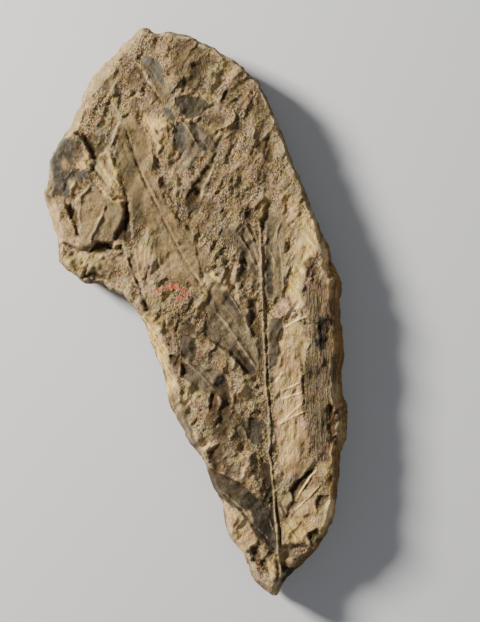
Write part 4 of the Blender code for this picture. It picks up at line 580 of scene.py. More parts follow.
# Soft tones of the stone and painted light and shade: place, half width, half height, turn, amount (paler
# above 0, darker below). Many darken shadowed hollows, steps and slopes as painted shade, others lighten
# facets that face the key light as painted light, the rest are the stone's own tones
paintedShadingAndTones = [
    (35, 24, 3, 7, 8, 0.4), (31, -30, 4, 18, 4, 0.15), (36, -66, 6, 6, 0, 0.3), (3, -12, 8, 9, 25, -0.35),
    (16, 14, 8, 16, 20, -0.3), (18, -36, 4, 14, 10, -0.45), (5, 72, 8, 9, -30, -0.2),
    (8, 46, 6, 12, -30, -0.3), (22, 50, 4, 12, 20, -0.5), (-12, 58, 4, 8, 10, 0.4),
    (-26.6, 42, 4, 6, 30, 0.3), (34.4, -54.4, 3.6, 1.1, 48, -1.3), (29, -84, 5, 4, -30, -0.8),
    (-35, 60, 5, 5, 0, -0.4), (26, 68, 4, 10, 25, -0.2), (-2.5, 80.5, 4.4, 8, -30, -1.1),
    (-19.3, 75.6, 2.8, 4, 20, -1.3), (-13.4, 78.6, 2.2, 3.4, -30, -0.6), (-13.8, 69.2, 2.6, 2.6, 0, -0.8),
    (-8.8, 71.5, 2.6, 3, 0, -0.65), (-1, 74.4, 3, 2.6, 30, -0.9), (7, 61.7, 3, 3.6, 0, -0.8),
    (20.8, 66.8, 2.4, 5, 22, -1.0), (-31.4, 53.8, 2.6, 3, 0, -1.0), (-30.3, 50.4, 2.2, 2.2, 0, -0.6),
    (-29, 57.4, 2.5, 3, 0, -0.45), (-20.6, 44.4, 2.2, 7, 15, -0.9), (-18.8, 35, 2.2, 6, 15, -0.9),
    (-30, 13.8, 5, 3, 0, -0.8), (-22.8, 22.8, 2, 2.6, 0, -1.3), (-20.4, 12.8, 1.8, 5, 15, -0.75),
    (-15.5, 0.6, 2, 2.4, 0, -0.95), (-12, 6, 3, 3, 0, 0.5), (-9.4, -3.4, 2.5, 3.5, 0, 0.4),
    (-7.6, 51.3, 2.2, 3, 0, 0.75), (-2, -5.8, 2.4, 2.6, 0, -0.9), (-2.2, -26, 3.4, 3, -20, 0.9),
    (-1.8, -30, 2.6, 3.4, 0, 0.4), (1.6, 12, 2.4, 2, 0, 1.0), (4.6, 8.7, 2.2, 1.6, 0, 0.9),
    (5.9, 3, 2, 2, 0, 0.4), (3.6, -43, 2, 2, 0, 0.9), (7.1, -47.6, 2.4, 3.2, 0, -1.9),
    (6.9, -51.6, 2.4, 1.6, 0, -0.5), (7.9, -37.4, 2.8, 3.4, 0, -1.1), (8.6, -26, 2.2, 2.6, 0, -1.6),
    (11, -32, 2, 3, 0, -0.8), (5.4, -32, 2, 3.4, 0, -0.8), (10, 9.7, 2.4, 2.2, 0, 1.8),
    (11.8, 13, 1.8, 2, 0, 0.8), (15, 45, 2.4, 4, -20, 0.8), (15.6, -26.2, 2.2, 4, 0, 1.1),
    (16, -48.6, 1.6, 1.8, 0, 0.6), (16.4, -52.8, 1.9, 2.4, 0, 1.4), (22.9, -51.6, 1.6, 3.6, 0, -1.5),
    (19.6, 22.8, 1.3, 3.6, 10, -1.5), (20.7, -9, 1.4, 7, 0, -1.3), (24.5, -9, 1.5, 7, 0, -0.7),
    (22.6, 37.4, 1.8, 2.6, 0, 0.9), (28.5, -66.1, 2, 2, 0, -1.2), (30.2, 35.6, 2.4, 4, 15, 1.1),
    (31.4, 30.8, 2, 3, 0, 0.7), (30, 44.2, 2, 4, 15, 0.5), (33.3, -14, 1.6, 4.4, 0, -0.9),
    (41, -50.8, 2, 2.6, 0, 0.45), (43, -62.4, 1.6, 3.2, 0, 1.7), (43.2, 8, 1.2, 4, 0, 0.7),
    (31, -79.5, 3, 3, 0, -0.3), (32, 0.2, 2.6, 3, 0, 1.3), (37.2, -58, 2.6, 2, 40, 1.3),
    (28.2, -79.2, 2, 2, 0, 1.6), (29.5, -75.4, 2.2, 2, 0, 1.6), (3.7, -14.3, 3, 2.6, 0, -0.5),
    (-1.4, 34.2, 2.6, 2.6, 0, -1.2), (-2.7, 86.4, 3, 2.4, 0, -0.5), (-6.6, 77.7, 2.6, 3, 0, -0.5),
    (16.6, -66, 2, 2.4, 0, 1.2), (18, -72.6, 2.2, 3.6, 0, 1.2), (-6.2, -27.2, 1.8, 3, 0, -0.9),
    (0.2, -15.2, 3, 2, 0, -0.3), (10, 79, 3, 2.4, 0, 0.9), (29.6, 17.2, 1.5, 4, 0, -0.5),
    (-15.2, 65.2, 2, 3, 0, -0.8), (-7, -15, 2, 3.6, 0, -0.5), (-38.4, 40.8, 1.8, 1.8, 0, 1.0),
    (-24, 37, 2, 1.6, 0, 1.1), (21.3, 33.8, 1.3, 3, 0, 0.4), (22.9, 47.6, 2, 4, 20, -0.6),
    (10.7, -23.9, 1.8, 2, 0, -0.5), (33.2, -49.4, 2.4, 2.4, 0, -0.9), (6.6, 74.5, 2, 2.6, 0, 1.1),
    (12.7, 73.2, 2, 2.6, 0, 0.6), (2.8, 45.2, 1.8, 2.4, -30, -0.5), (24.8, -75.2, 1.6, 2.4, 0, -1.2),
    (1.3, 1.3, 2.2, 2.6, 0, 0.9), (26.4, 16.8, 1.4, 3, 0, -0.5), (10.7, -49.4, 2.4, 2, 0, -0.45),
    (35, -36, 1.8, 3, 0, -0.45), (34.2, -41, 1.8, 4, 0, -0.5), (26.2, -62.8, 1.4, 2.4, 0, -1.2),
    (-29, 73.2, 2, 3, 0, -0.9), (-9.8, 39.8, 1.8, 3, 20, -0.5), (-38, 32.2, 1.8, 2.6, 0, -0.6),
    (3.4, -35.4, 2, 2.6, 0, -0.45), (8.2, -41, 2, 2.2, 0, -0.8), (21.6, -36.4, 1.5, 3, 0, -0.9),
    (-37, 59.6, 2, 2, 0, 1.0), (21.2, 33, 1.3, 3, 0, 0.4), (-12.6, 15.4, 2.4, 3, 0, 0.5),
    (5.1, 33.2, 2.4, 3, 0, -0.9), (-11.2, 8.6, 2.6, 2, 0, 0.4), (11, -23.8, 1.6, 2, 0, -0.4),
    (41.2, 18, 1.4, 5, 0, 1.4), (23.2, 24.8, 1, 3, 0, -0.5), (-16.8, 62, 1.8, 2.4, 0, -0.4),
    (22.8, -69, 2.2, 5.5, 15, -1.1), (13.5, -57.6, 6, 2.4, -40, -0.5), (24.9, -75, 1.4, 2, 0, -0.5),
    (-17.6, 29.4, 2.4, 3, 0, -0.8), (-9, -3.4, 2.2, 2.4, 0, 0.6), (44.8, -26.2, 1.6, 3.4, 0, 1.1),
    (23.4, -31, 1.2, 3, 0, -0.7), (-7, -13.4, 2, 2, 0, -0.6), (-7.2, -19, 1.8, 2, 0, -0.6),
    (41.4, -52, 1.8, 1.8, 0, 0.6), (5.9, -48.4, 1.8, 2, 0, -0.6), (-38, 30.4, 1.6, 2, 0, -0.6),
    (21, -20.6, 1, 4, 0, -0.8), (-4.4, -16, 1.8, 1.8, 0, -0.7), (26, 15.4, 1.2, 3, 0, -0.4),
    (-25.8, 69.6, 2, 2.4, 0, 0.5), (3.4, -43.2, 1.6, 1.4, 0, 0.6), (41.2, 2.6, 1.2, 3, 0, 0.6),
    (-15.5, 0.4, 1.6, 2, 0, -0.6), (20.6, -63.5, 4, 3, -40, -0.4), (24.2, -58, 1.3, 4, 0, -0.8),
    (-6.6, 31.2, 1.8, 3, 20, 0.8), (2.4, 62, 2.2, 2.4, 0, -0.7), (-9.8, 67.8, 2, 2.2, 0, -0.7),
    (-46.3, 38.9, 1.6, 3, 0, -1.4), (0.8, 84.5, 2, 2.2, 0, -0.7), (5.6, 80.9, 2.2, 2.2, 0, -0.7),
    (-19.7, 66.5, 2, 2.2, 0, -0.6), (-41.5, 47.6, 1.6, 2.4, 0, 0.7), (32.5, 28.7, 2, 2.4, 0, 0.7),
    (-6, 39.9, 1.6, 2.6, 0, 0.7), (8.2, 4.3, 1.8, 2.2, 0, 0.4), (-3.4, -7, 2, 2, 0, -0.8),
    (9.8, 79.3, 2, 2, 0, 0.5), (34.6, -44, 1.8, 3, 0, -0.5), (-25.8, 28.2, 1.6, 2.4, 0, 0.4),
    (-39.4, 40.2, 0.8, 2, -15, 1.4), (-3.2, 48.6, 1.6, 2, 0, 0.6), (-21.4, 46, 2.6, 7, 15, -0.3),
    (-16.2, 53.6, 2.4, 2.4, 0, -0.6), (9.4, 69.2, 1.4, 2.6, -15, -0.9), (11.4, -51, 2, 2, 0, -0.7),
    (-6.6, -25.8, 1.8, 3, 20, -0.8), (40.8, -59.8, 1.8, 1.8, 0, -0.9), (-22, 81.2, 2, 2.4, 0, -0.7),
    (-24, 37.6, 1.6, 2, 0, 0.7), (19, -71.4, 1.6, 2, 0, -0.6), (7.6, 60.6, 1.8, 2, 0, -0.6),
    (-9.6, 40, 1.6, 2.4, 0, -0.5), (22.3, 60.4, 1.6, 3, 20, -0.5), (-20.8, 25.4, 1.4, 2.4, 0, -0.7),
    (12, -31.2, 1.6, 2, 0, -0.6), (9.6, 9.9, 1.6, 1.6, 0, 0.8), (-3.4, -17.8, 1.4, 1.5, 0, -1.1),
    (6.9, -26.2, 1.8, 1.6, 0, -1.2), (8.4, -29, 1.8, 1.6, 0, -0.8), (11, -31.2, 1.4, 1.8, 0, -0.6),
    (-12.8, 76, 1.2, 1.8, 30, 0.6), (16, -66, 2, 2, 0, 0.8), (20, -71, 1.6, 2.4, 25, -0.8),
    (24.2, -75.8, 1.8, 2.4, 10, -1), (14, -34, 1.8, 1.8, 0, -0.6),
]

# Plain nicks across the pale strip, and a faded smear of red
nicks = [
    [(33.9, 3), (31.5, 0.8), (30.5, -1.6)], [(35.7, -1.2), (32.7, -2.4), (28.5, -4.8)],
    [(28.1, -19.2), (25.9, -22)], [(27.7, -25), (32.9, -22.8)], [(27.9, -27.6), (34.1, -25.6)],
    [(34.3, -28.8), (31.1, -32), (27.1, -35.7)], [(34.9, -31.8), (31.5, -33.2), (27.6, -35.6)],
]
smear = [
    [(-13, 7.1), (-10.8, 7.3)], [(-9.4, 7.6), (-7.4, 8.3), (-5.6, 8.3), (-3.4, 7.4), (-2.2, 5.6)],
    [(-5.8, 5), (-4.6, 4.6)],
]

# Skins in the order they are laid on: pale and deep colour, soft edge, raggedness, flaking, strength, and
# what mottles them: the stone's blotches, upright fibres or slanting fibres
skinLook = {
    "tanBlade": ((150, 130, 95), (118, 100, 72), 0.5, 0.25, 0.3, 0.75, "blotch"),
    "rosy": ((180, 146, 106), (136, 108, 76), 0.8, 0.4, 0.3, 0.7, "slanting"),
    "olive": ((150, 134, 103), (120, 106, 79), 0.4, 0.2, 0.25, 0.8, "blotch"),
    "paleTan": ((228, 196, 148), (168, 140, 100), 0.6, 0.3, 0.3, 0.82, "upright"),
    "greyTan": ((112, 103, 88), (84, 76, 64), 0.4, 0.2, 0.2, 0.85, "slanting"),
    "paleRim": ((196, 172, 131), (142, 120, 86), 0.5, 0.3, 0.25, 0.8, "slanting"),
    "cream": ((255, 225, 150), (170, 136, 84), 0.4, 0.3, 0.3, 0.85, "slanting"),
    "rust": ((156, 118, 66), (96, 71, 37), 0.8, 0.3, 0.2, 0.9, "upright"),
    "crust": ((190, 168, 118), (80, 64, 40), 0.6, 0.5, 0.5, 0.8, "blotch"),
    "fibrous": ((138, 121, 98), (64, 54, 42), 1.3, 0.4, 0.25, 0.8, "upright"),
    "plum": ((112, 90, 72), (76, 58, 45), 0.5, 0.4, 0.3, 0.8, "slanting"),
    # dark olive laid in hollows, slots and in the shadow of steps: painted shade
    "paintedOliveShade": ((88, 71, 41), (54, 42, 22), 0.8, 0.4, 0.3, 0.8, "slanting"),
    "washFilm": ((118, 106, 84), (80, 70, 54), 0.35, 0.25, 0.3, 0.85, "blotch"),
    "greyFilm": ((96, 92, 83), (66, 63, 56), 0.3, 0.15, 0.06, 0.94, "blotch"),
    "darkFilm": ((74, 66, 52), (46, 41, 31), 0.3, 0.2, 0.04, 0.94, "blotch"),
    # charcoal: the dark carbon patch's colour, also laid as painted shade in oliveLeafShade,
    # lowerLeafShade, stemShade and darkFacet
    "charcoal": ((66, 62, 50), (32, 30, 24), 0.3, 0.3, 0.4, 0.95, "upright"),
    # dark brown laid in cavities, pits, notches and the shadowed feet of steps: painted shade
    "paintedBrownShade": ((78, 60, 38), (44, 32, 19), 0.45, 0.3, 0.15, 0.8, "slanting"),
}
films = ("washFilm", "greyFilm", "darkFilm")  # the carbon films, which shine a little

# Thin strokes laid over the skins: colour, soft edge, raggedness, flaking, strength
strokeLook = {
    # pale along ribs and rims: the ribs' own pale colour and painted highlight on rims that face the key
    # light
    "paleRibAndHighlight": ((196, 172, 132), 0.2, 0.2, 0.6, 0.5),
    # dark along grooves and cracks: painted shade, and the dark of some veins
    "darkVeinAndGrooveShade": ((58, 44, 29), 0.2, 0.15, 0.35, 0.7),
    "nick": ((255, 224, 158), 0.08, 0.05, 0.08, 1.0),
    "red": ((206, 92, 76), 0.3, 0.35, 0.75, 0.75),
}
lineTone = {1: "paleRibAndHighlight", -1: "darkVeinAndGrooveShade", 2: "nick"}  # 0 leaves a line in the colours round it
farAway = -6.0  # signed distance far outside an area

# Noise: size in mm, seed, octaves, roughness
waves = {
    "swell": (34.0, (3.1, 7.7, 0.4), 2, 0.9),
    "lump": (7.5, (11.3, 2.9, 5.2), 3, 0.9),
    "wanderAcross": (3.4, (31.3, 6.1, 2.2), 3, 0.9),
    "wanderAlong": (3.4, (2.7, 41.9, 9.4), 3, 0.9),
    "fray": (2.6, (9.1, 2.2, 6.4), 3, 0.9),
    "worn": (3.1, (6.6, 1.2, 15.1), 2, 0.9),
    "rim": (5.0, (11.3, 2.9, 5.2), 2, 0.9),
    "knob": (4.6, (17.3, 22.9, 1.2), 2, 0.9),
    "ridge": (2.7, (4.4, 9.1, 3.3), 3, 0.8),
    "grain": (1.05, (5.9, 17.1, 8.8), 2, 0.7),
    "sand": (0.62, (14.4, 5.1, 7.3), 1, 0.9),
    "fibre": (1.1, (7.9, 3.1, 2.8), 2, 0.9),
    "scar": (17.0, (8.2, 13.5, 27.4), 2, 0.9),
    "undercut": (14.0, (8.2, 13.5, 27.4), 2, 0.9),
}
# Flat chips: size in mm, seed, width of the eased edge
chipping = {
    "facet": (6.0, (8.3, 2.6, 1.7), 0.3),
    "chip": (3.4, (4.9, 3.1, 7.7), 0.2),
    "underside": (4.0, (2.4, 19.1, 6.3), 0.12),
}


def ease(values):
    t = np.clip(values, 0.0, 1.0)
    return t * t * (3.0 - 2.0 * t)


def facing(degrees):  # the direction that lies at this angle on the face
    angle = math.radians(degrees)
    return np.array((math.cos(angle), math.sin(angle)))


def nearBox(xy, points, margin):  # which places lie near a shape
    low = points.min(axis=0) - margin
    high = points.max(axis=0) + margin
    return np.nonzero(((xy > low) & (xy < high)).all(axis=1))[0]


def lineDistance(xy, route):  # distance, share of the length, side (+1 right) and length
    points = np.array(route, dtype=float)
    lengths = np.linalg.norm(np.diff(points, axis=0), axis=1)
    travelled = np.concatenate(([0.0], np.cumsum(lengths)))
    best = np.full(len(xy), np.inf)
    share = np.zeros(len(xy))
    side = np.ones(len(xy))
    for start, end, length, before in zip(points[:-1], points[1:], lengths, travelled):
        run = (end - start) / length
        offset = xy - start
        along = np.clip(offset @ run, 0.0, length)
        gap = np.linalg.norm(offset - along[:, None] * run, axis=1)
        nearer = gap < best
        best[nearer] = gap[nearer]
        share[nearer] = (before + along[nearer]) / travelled[-1]
        side[nearer] = np.sign(run[1] * offset[nearer, 0] - run[0] * offset[nearer, 1])
    return best, share, side, travelled[-1]


def areaDistance(xy, corners):  # signed distance to a closed outline, positive inside
    points = np.array(corners, dtype=float)
    inside = np.zeros(len(xy), dtype=bool)
    best = np.full(len(xy), np.inf)
    for start, end in zip(points, np.roll(points, -1, axis=0)):
        run = end - start
        offset = xy - start
        along = np.clip(offset @ run / (run @ run), 0.0, 1.0)
        best = np.minimum(best, np.linalg.norm(offset - along[:, None] * run, axis=1))
        crosses = (start[1] > xy[:, 1]) != (end[1] > xy[:, 1])
        reach = start[0] + run[0] * (xy[:, 1] - start[1]) / (run[1] if run[1] else 1.0)
        inside ^= crosses & (xy[:, 0] < reach)
    return np.where(inside, best, -best)


def lumpy(xy, size, seed, octaves, roughness):  # seeded noise, about -1 to 1
    seed = Vector(seed)
    lacunarity = 2.1
    return np.array([noise.fractal(Vector((x, y, 0.0)) / size + seed, roughness, lacunarity, octaves)
                     for x, y in xy])


def turned(xy, degrees, stretch):  # places seen along a grain direction, squeezed along it
    cosine, sine = facing(degrees)
    along = xy[:, 0] * cosine + xy[:, 1] * sine
    across = xy[:, 1] * cosine - xy[:, 0] * sine
    return np.column_stack((along / stretch, across))


def softOval(xy, x, y, halfWidth, halfHeight, turn):  # 1 in the middle of an oval, falling away to 0
    placed = turned(xy - (x, y), -turn, 1.0)
    return np.exp(-((placed[:, 0] / halfWidth) ** 2 + (placed[:, 1] / halfHeight) ** 2))


def chipped(xy, size, seed, edge):  # flat chips, each tilted its own way, with eased edges
    seed = Vector(seed)
    tilt = 2.4
    lift = 0.9
    values = []
    for x, y in xy:
        place = Vector((x, y, 0.0)) / size + seed
        gaps, centres = noise.voronoi(place)
        planes = []
        for centre in centres[:2]:
            lean = noise.cell_vector(centre * 9.7)
            offset = place - centre
            tilted = (lean.x - 0.5) * offset.x * tilt + (lean.y - 0.5) * offset.y * tilt
            planes.append(tilted + (lean.z - 0.5) * lift)
        part = min((gaps[1] - gaps[0]) / edge, 1.0) * 0.5 + 0.5
        values.append(planes[0] * part + planes[1] * (1.0 - part))
    return np.array(values)


def rimValues(xy):  # width and drop of the rim, mixed from the places nearby
    places = np.array(rim)
    gaps = np.linalg.norm(xy[:, None, :] - places[None, :, :2], axis=2)
    weights = 1.0 / (gaps + 0.5) ** 3
    weights /= weights.sum(axis=1, keepdims=True)
    return weights @ places[:, 2], weights @ places[:, 3]


def bedded(values, step, sharp=0.3):  # a smooth height broken into thin beds
    part = values / step
    whole = np.floor(part)
    return step * (whole + ease((part - whole - 0.5) / sharp + 0.5))


def shelving(places, points, wall):  # 1 at the wall of a hollow, falling to 0 where its floor comes up
    toWall = facing(wall)
    reach = points @ toWall
    along = (places @ toWall - reach.min()) / (reach.max() - reach.min())
    return np.clip(0.15 + 1.1 * along, 0.0, 1.0)


def layAreas(xy, ragged, height, masks):  # ledges, hollows and facets, and the skins on them
    fray = 0.7 * lumpy(xy, *waves["fray"])
    smooth = masks["smooth"]
    for area in areas.values():
        points = np.array(area["outline"], dtype=float)
        near = nearBox(ragged, points, -farAway)
        places = ragged[near]
        gap = areaDistance(places, points)
        if "level" in area:
            frayed = area.get("fray", 0.8) * fray[near]
            step = area["level"] * ease((gap + frayed) / area["edge"] + 0.5)
            if "wall" in area:
                step *= shelving(places, points, area["wall"]) * (0.9 + 0.5 * frayed)
            height[near] += step
        if "faces" in area:
            towards, slope = area["faces"]
            along = (places - points.mean(axis=0)) @ facing(towards)
            height[near] -= slope * along * ease(gap / 1.2 + 0.5)
        if "smooth" in area:
            smooth[near] = np.maximum(smooth[near], area["smooth"] * ease(gap / 0.8 + 0.5))
        if "skin" in area:
            mask = masks[area["skin"]]
            mask[near] = np.maximum(mask[near], gap)


def layLines(xy, ragged, fine, height, masks):  # bed edges, veins, cracks, lumps, nicks and the smear
    for step, reach, route in scarps:
        gap, share, side, length = lineDistance(ragged, route)
        ends = ease(np.minimum(share, 1.0 - share) * length / 2.0)
        height += step * ends * ease(side * gap / 0.8 + 0.5) * np.clip(1.0 - gap / reach, 0.0, 1.0)
    worn = 0.35 + 0.65 * ease(0.75 + 0.9 * lumpy(xy, *waves["worn"]))
    for rise, halfWidth, tone, route in lines:
        near = nearBox(fine, np.array(route, dtype=float), 4.0)
        gap, share, side, length = lineDistance(fine[near], route)
        ends = 0.3 + 0.7 * ease(np.minimum(share, 1.0 - share) * length / 3.0)
        ends = ends * (worn[near] if abs(rise) < 0.6 else 1.0)
        height[near] += rise * ends * np.exp(-(gap / halfWidth) ** 2)
        if tone in lineTone:
            target = masks[lineTone[tone]]
            target[near] = np.maximum(target[near], 0.7 * halfWidth * ends - gap)
    for x, y, radius, rise in lumps:
        height += rise * np.exp(-(np.linalg.norm(xy - (x, y), axis=1) / radius) ** 2)
    for route in nicks:
        gap = lineDistance(fine, route)[0]
        masks["nick"] = np.maximum(masks["nick"], plate["nickHalfWidth"] - gap)
        height += plate["nickRise"] * np.exp(-(gap / 0.28) ** 2)
    for route in smear:
        masks["red"] = np.maximum(masks["red"], plate["smearHalfWidth"] - lineDistance(ragged, route)[0])


def layRoughness(xy, ragged, wander, height, masks):  # ridges, chips and grains, calmer where it is smooth
    run = plate["grainRun"]
    rough = 1.0 - masks["smooth"]
    for x, y, halfWidth, halfHeight, turn, ridgeRun, spacing, stretch, rise in combs:
        share = softOval(xy, x, y, halfWidth, halfHeight, turn)
        near = np.nonzero(share > 0.03)[0]
        ridged = lumpy(turned(ragged[near], ridgeRun, stretch), spacing, (x, y, 3.3), 2, 0.8)
        height[near] += rise * share[near] * ridged * (0.45 + 0.55 * rough[near])
    ridges = plate["ridge"] * lumpy(turned(xy + 0.9 * wander, run, 3.0), *waves["ridge"])
    ridges = 0.45 * ridges + 0.55 * bedded(ridges, plate["bed"])
    grain = plate["grain"] * lumpy(turned(xy, run, 1.6), *waves["grain"])
    sand = plate["sand"] * lumpy(xy, *waves["sand"])
    facets = plate["facet"] * chipped(turned(xy + 0.8 * wander, run, 1.7), *chipping["facet"])
    chips = plate["chip"] * chipped(turned(xy + 0.35 * wander, run, 1.7), *chipping["chip"])
    knobs = plate["knob"] * lumpy(turned(xy, run, 1.5), *waves["knob"])
    height += rough * (knobs + facets + ridges + chips + grain + sand) + 0.1 * grain
    fibres = lumpy(turned(xy, plate["fibreRun"], 9.0), *waves["fibre"])
    height += 0.3 * fibres * ease(masks["fibrous"] / 0.8 + 0.5)


def faceRelief(xy, depthIn):  # height of the fossil face and its masks
    count = len(xy)
    masks = {name: np.full(count, farAway) for name in (*skinLook, *strokeLook)}
    masks["smooth"] = np.zeros(count)
    masks["tone"] = np.zeros(count)
    height = np.full(count, plate["faceHeight"])
    height += plate["swell"] * lumpy(xy, *waves["swell"])
    height += plate["lump"] * lumpy(xy, *waves["lump"])
    strip = np.clip((xy[:, 0] - 24.5) / 13.5, 0.0, 1.0)  # climbs to the right, fades at both ends
    strip = strip * ease((33.0 - xy[:, 1]) / 12.0) * ease((xy[:, 1] + 74.0) / 14.0)
    height += plate["stripRise"] * strip
    valley = np.exp(-((xy[:, 0] - 19.0) / 5.0) ** 2) * ease((26.0 - xy[:, 1]) / 14.0)
    height -= plate["valley"] * valley
    wander = np.column_stack((lumpy(xy, *waves["wanderAcross"]), lumpy(xy, *waves["wanderAlong"])))
    ragged = xy + plate["ragged"] * wander
    layAreas(xy, ragged, height, masks)
    layLines(xy, ragged, xy + 0.18 * wander, height, masks)
    # the tone attribute holds painted light and painted shade along with the stone's own tones
    for x, y, halfWidth, halfHeight, turn, amount in paintedShadingAndTones:
        masks["tone"] += amount * softOval(ragged, x, y, halfWidth, halfHeight, turn)
    width, drop = rimValues(xy)
    width = width * (1.0 + 0.22 * lumpy(xy, *waves["rim"]))
    height -= drop * np.clip(1.0 - depthIn / width, 0.0, 1.0) ** 1.15
    layRoughness(xy, ragged, wander, height, masks)
    return height, masks


def undersideRelief(xy, depthIn):  # flake scars and an undercut edge round the flat rest face
    scars = np.clip(lumpy(xy, *waves["scar"]) - 0.12, 0.0, 0.5) * 2.0 * plate["flakeDepth"]
    width = plate["undercutWidth"] * (1.0 + 0.45 * lumpy(xy, *waves["undercut"]))
    curl = np.clip(1.0 - depthIn / width, 0.0, 1.0) ** 1.8 * plate["undercutRise"]
    chips = 0.25 * np.clip(chipped(xy, *chipping["underside"]) + 0.5, 0.0, 2.0)
    return np.maximum(np.maximum(scars, curl) - plate["restCut"] + chips, 0.0)


def nearestOn(route, k, x, y):  # nearest place on one stretch of a route
    start = route[k]
    run = route[k + 1] - start
    along = np.clip(((x - start[0]) * run[0] + (y - start[1]) * run[1]) / (run @ run), 0.0, 1.0)
    return start + along * run


def wallPush(points, share, depthIn):  # bedding steps and chips in the broken sides
    push = np.zeros((len(points), 2))
    spine = np.array(plate["spine"], dtype=float)
    reach = plate["wallReach"]
    for index in np.nonzero(depthIn < reach)[0]:
        x, y, z = points[index]
        band = math.sin(math.pi * min(max(share[index], 0.0), 1.0)) ** 0.5
        bed = noise.noise(Vector((x / 11.0, y / 11.0, z / plate["bedSpacing"])) + Vector((21.7, 4.3, 1.6)))
        fine = noise.noise(Vector((x / 3.5, y / 3.5, z / 1.6)) + Vector((5.9, 17.1, 8.8)))
        chip = noise.noise(Vector((x, y, z)) / 1.7 + Vector((1.9, 7.7, 3.3)))
        amount = plate["wallRecess"] * band * min(max(0.55 + 0.9 * bed + 0.35 * fine, 0.0), 1.3)
        amount += plate["edgeChip"] * min(max(0.3 + fine + chip, 0.0), 1.6)
        amount -= plate["overlap"]
        fade = 1.0 - max(depthIn[index], 0.0) / reach
        goals = [nearestOn(spine, k, x, y) for k in range(len(spine) - 1)]
        goal = min(goals, key=lambda p: (p[0] - x) ** 2 + (p[1] - y) ** 2)
        push[index] = Vector((goal[0] - x, goal[1] - y)).normalized() * amount * fade
    return push


def newObject(name, data):
    made = bpy.data.objects.new(name, data)
    bpy.context.scene.collection.objects.link(made)
    return made


def makeBlank():  # a plain slab with the stone's outline, evenly meshed, finer on its sides and top
    bm = bmesh.new()
    base = bm.faces.new([bm.verts.new((x * mm, y * mm, 0.0)) for x, y in plate["outline"]])
    raised = bmesh.ops.extrude_face_region(bm, geom=[base])
    lifted = [item for item in raised["geom"] if isinstance(item, bmesh.types.BMVert)]
    bmesh.ops.translate(bm, verts=lifted, vec=(0, 0, plate["slabHeight"] * mm))
    bmesh.ops.recalc_face_normals(bm, faces=bm.faces)
    mesh = bpy.data.meshes.new("fossilPlate")
    bm.to_mesh(mesh)
    bm.free()
    blank = newObject("fossilPlate", mesh)
    remesh = blank.modifiers.new("even", "REMESH")
    remesh.mode = "VOXEL"
    remesh.voxel_size = plate["voxel"] * mm
    bpy.context.view_layer.update()
    even = bpy.data.meshes.new_from_object(blank.evaluated_get(bpy.context.evaluated_depsgraph_get()))
    blank.modifiers.clear()
    blank.data = even
    bm = bmesh.new()
    bm.from_mesh(even)
    for lowest in plate["finerAbove"]:
        finer = {edge for face in bm.faces if face.normal.z > lowest for edge in face.edges}
        bmesh.ops.subdivide_edges(bm, edges=list(finer), cuts=1, use_grid_fill=True)
    bm.to_mesh(even)
    bm.free()
    return blank


def neighbourMean(mesh, values):  # the height averaged over the neighbourhood
    ends = np.empty(len(mesh.edges) * 2, dtype=np.int64)
    mesh.edges.foreach_get("vertices", ends)
    first, second = ends.reshape(-1, 2).T
    count = np.bincount(first, minlength=len(values)) + np.bincount(second, minlength=len(values))
    mean = values.copy()
    for _ in range(plate["meanRounds"]):
        total = np.bincount(first, mean[second], len(values))
        total += np.bincount(second, mean[first], len(values))
        mean = 0.5 * mean + 0.5 * total / np.maximum(count, 1)
    return mean


def shapeStone(stone):  # moves the blank's vertices to the relief and keeps the masks as attributes
    mesh = stone.data
    flat = np.empty(len(mesh.vertices) * 3)
    mesh.vertices.foreach_get("co", flat)
    points = flat.reshape(-1, 3) / mm
    xy = points[:, :2].copy()
    depthIn = areaDistance(xy, plate["outline"])
    share = np.clip(points[:, 2] / plate["slabHeight"], 0.0, 1.0)
    top, masks = faceRelief(xy, depthIn)
    under = undersideRelief(xy, depthIn)
    points[:, 2] = under + (top - under) * share
    points[:, :2] += wallPush(points, share, depthIn)
    low, high = (np.array(corner) / mm for corner in cadBox)
    points = np.clip(points, low, high)  # the finished stone stays inside the CAD box
    mesh.vertices.foreach_set("co", (points * mm).ravel())
    masks["side"] = (1.0 - share) * plate["slabHeight"]
    masks["relief"] = top - neighbourMean(mesh, top)
    for name, values in masks.items():
        layer = mesh.attributes.new(name, "FLOAT", "POINT")
        layer.data.foreach_set("value", np.asarray(values, dtype=np.float32))
    mesh.update()


def fromScreen(red, green, blue):  # colour as read on a screen, 0 to 255, to linear
    def linear(value):
        value /= 255.0
        return value / 12.92 if value <= 0.04045 else ((value + 0.055) / 1.055) ** 2.4
    return (linear(red), linear(green), linear(blue), 1.0)


stoneLook = {
    "grainStretch": 1.5,
    "fibres": {"upright": (91.0, 14.0, 1000.0), "slanting": (-58.0, 10.0, 800.0)},  # turn, stretch, scale
    "face": {"Pale": fromScreen(212, 186, 148), "Middle": fromScreen(140, 120, 93),
             "Dark": fromScreen(76, 62, 44)},
    "lifted": (fromScreen(190, 160, 114), fromScreen(250, 222, 176)),  # paler tones, and painted light
    "darkToneAndPaintedShade": (fromScreen(34, 27, 18), fromScreen(80, 65, 45)),  # darker tones, and painted shade
    "toneStrength": 0.8,
    # crests: how much paler the crests get, worn stone and painted highlight; hollows: how much painted
    # shade darkens the hollows
    "crests": 0.5,
    "smoothCrests": 0.42,  # taken off the crests where the face is smooth
    "hollows": 0.6,
    "roughness": 0.92,
    "filmShine": 0.3,
    "smoothBump": 0.7,  # taken off the bump where the face is smooth
    "fibreBump": 0.6,
    "filmBump": 0.06,
    "bumpReach": 0.0018,
    "specular": 0.3,
}
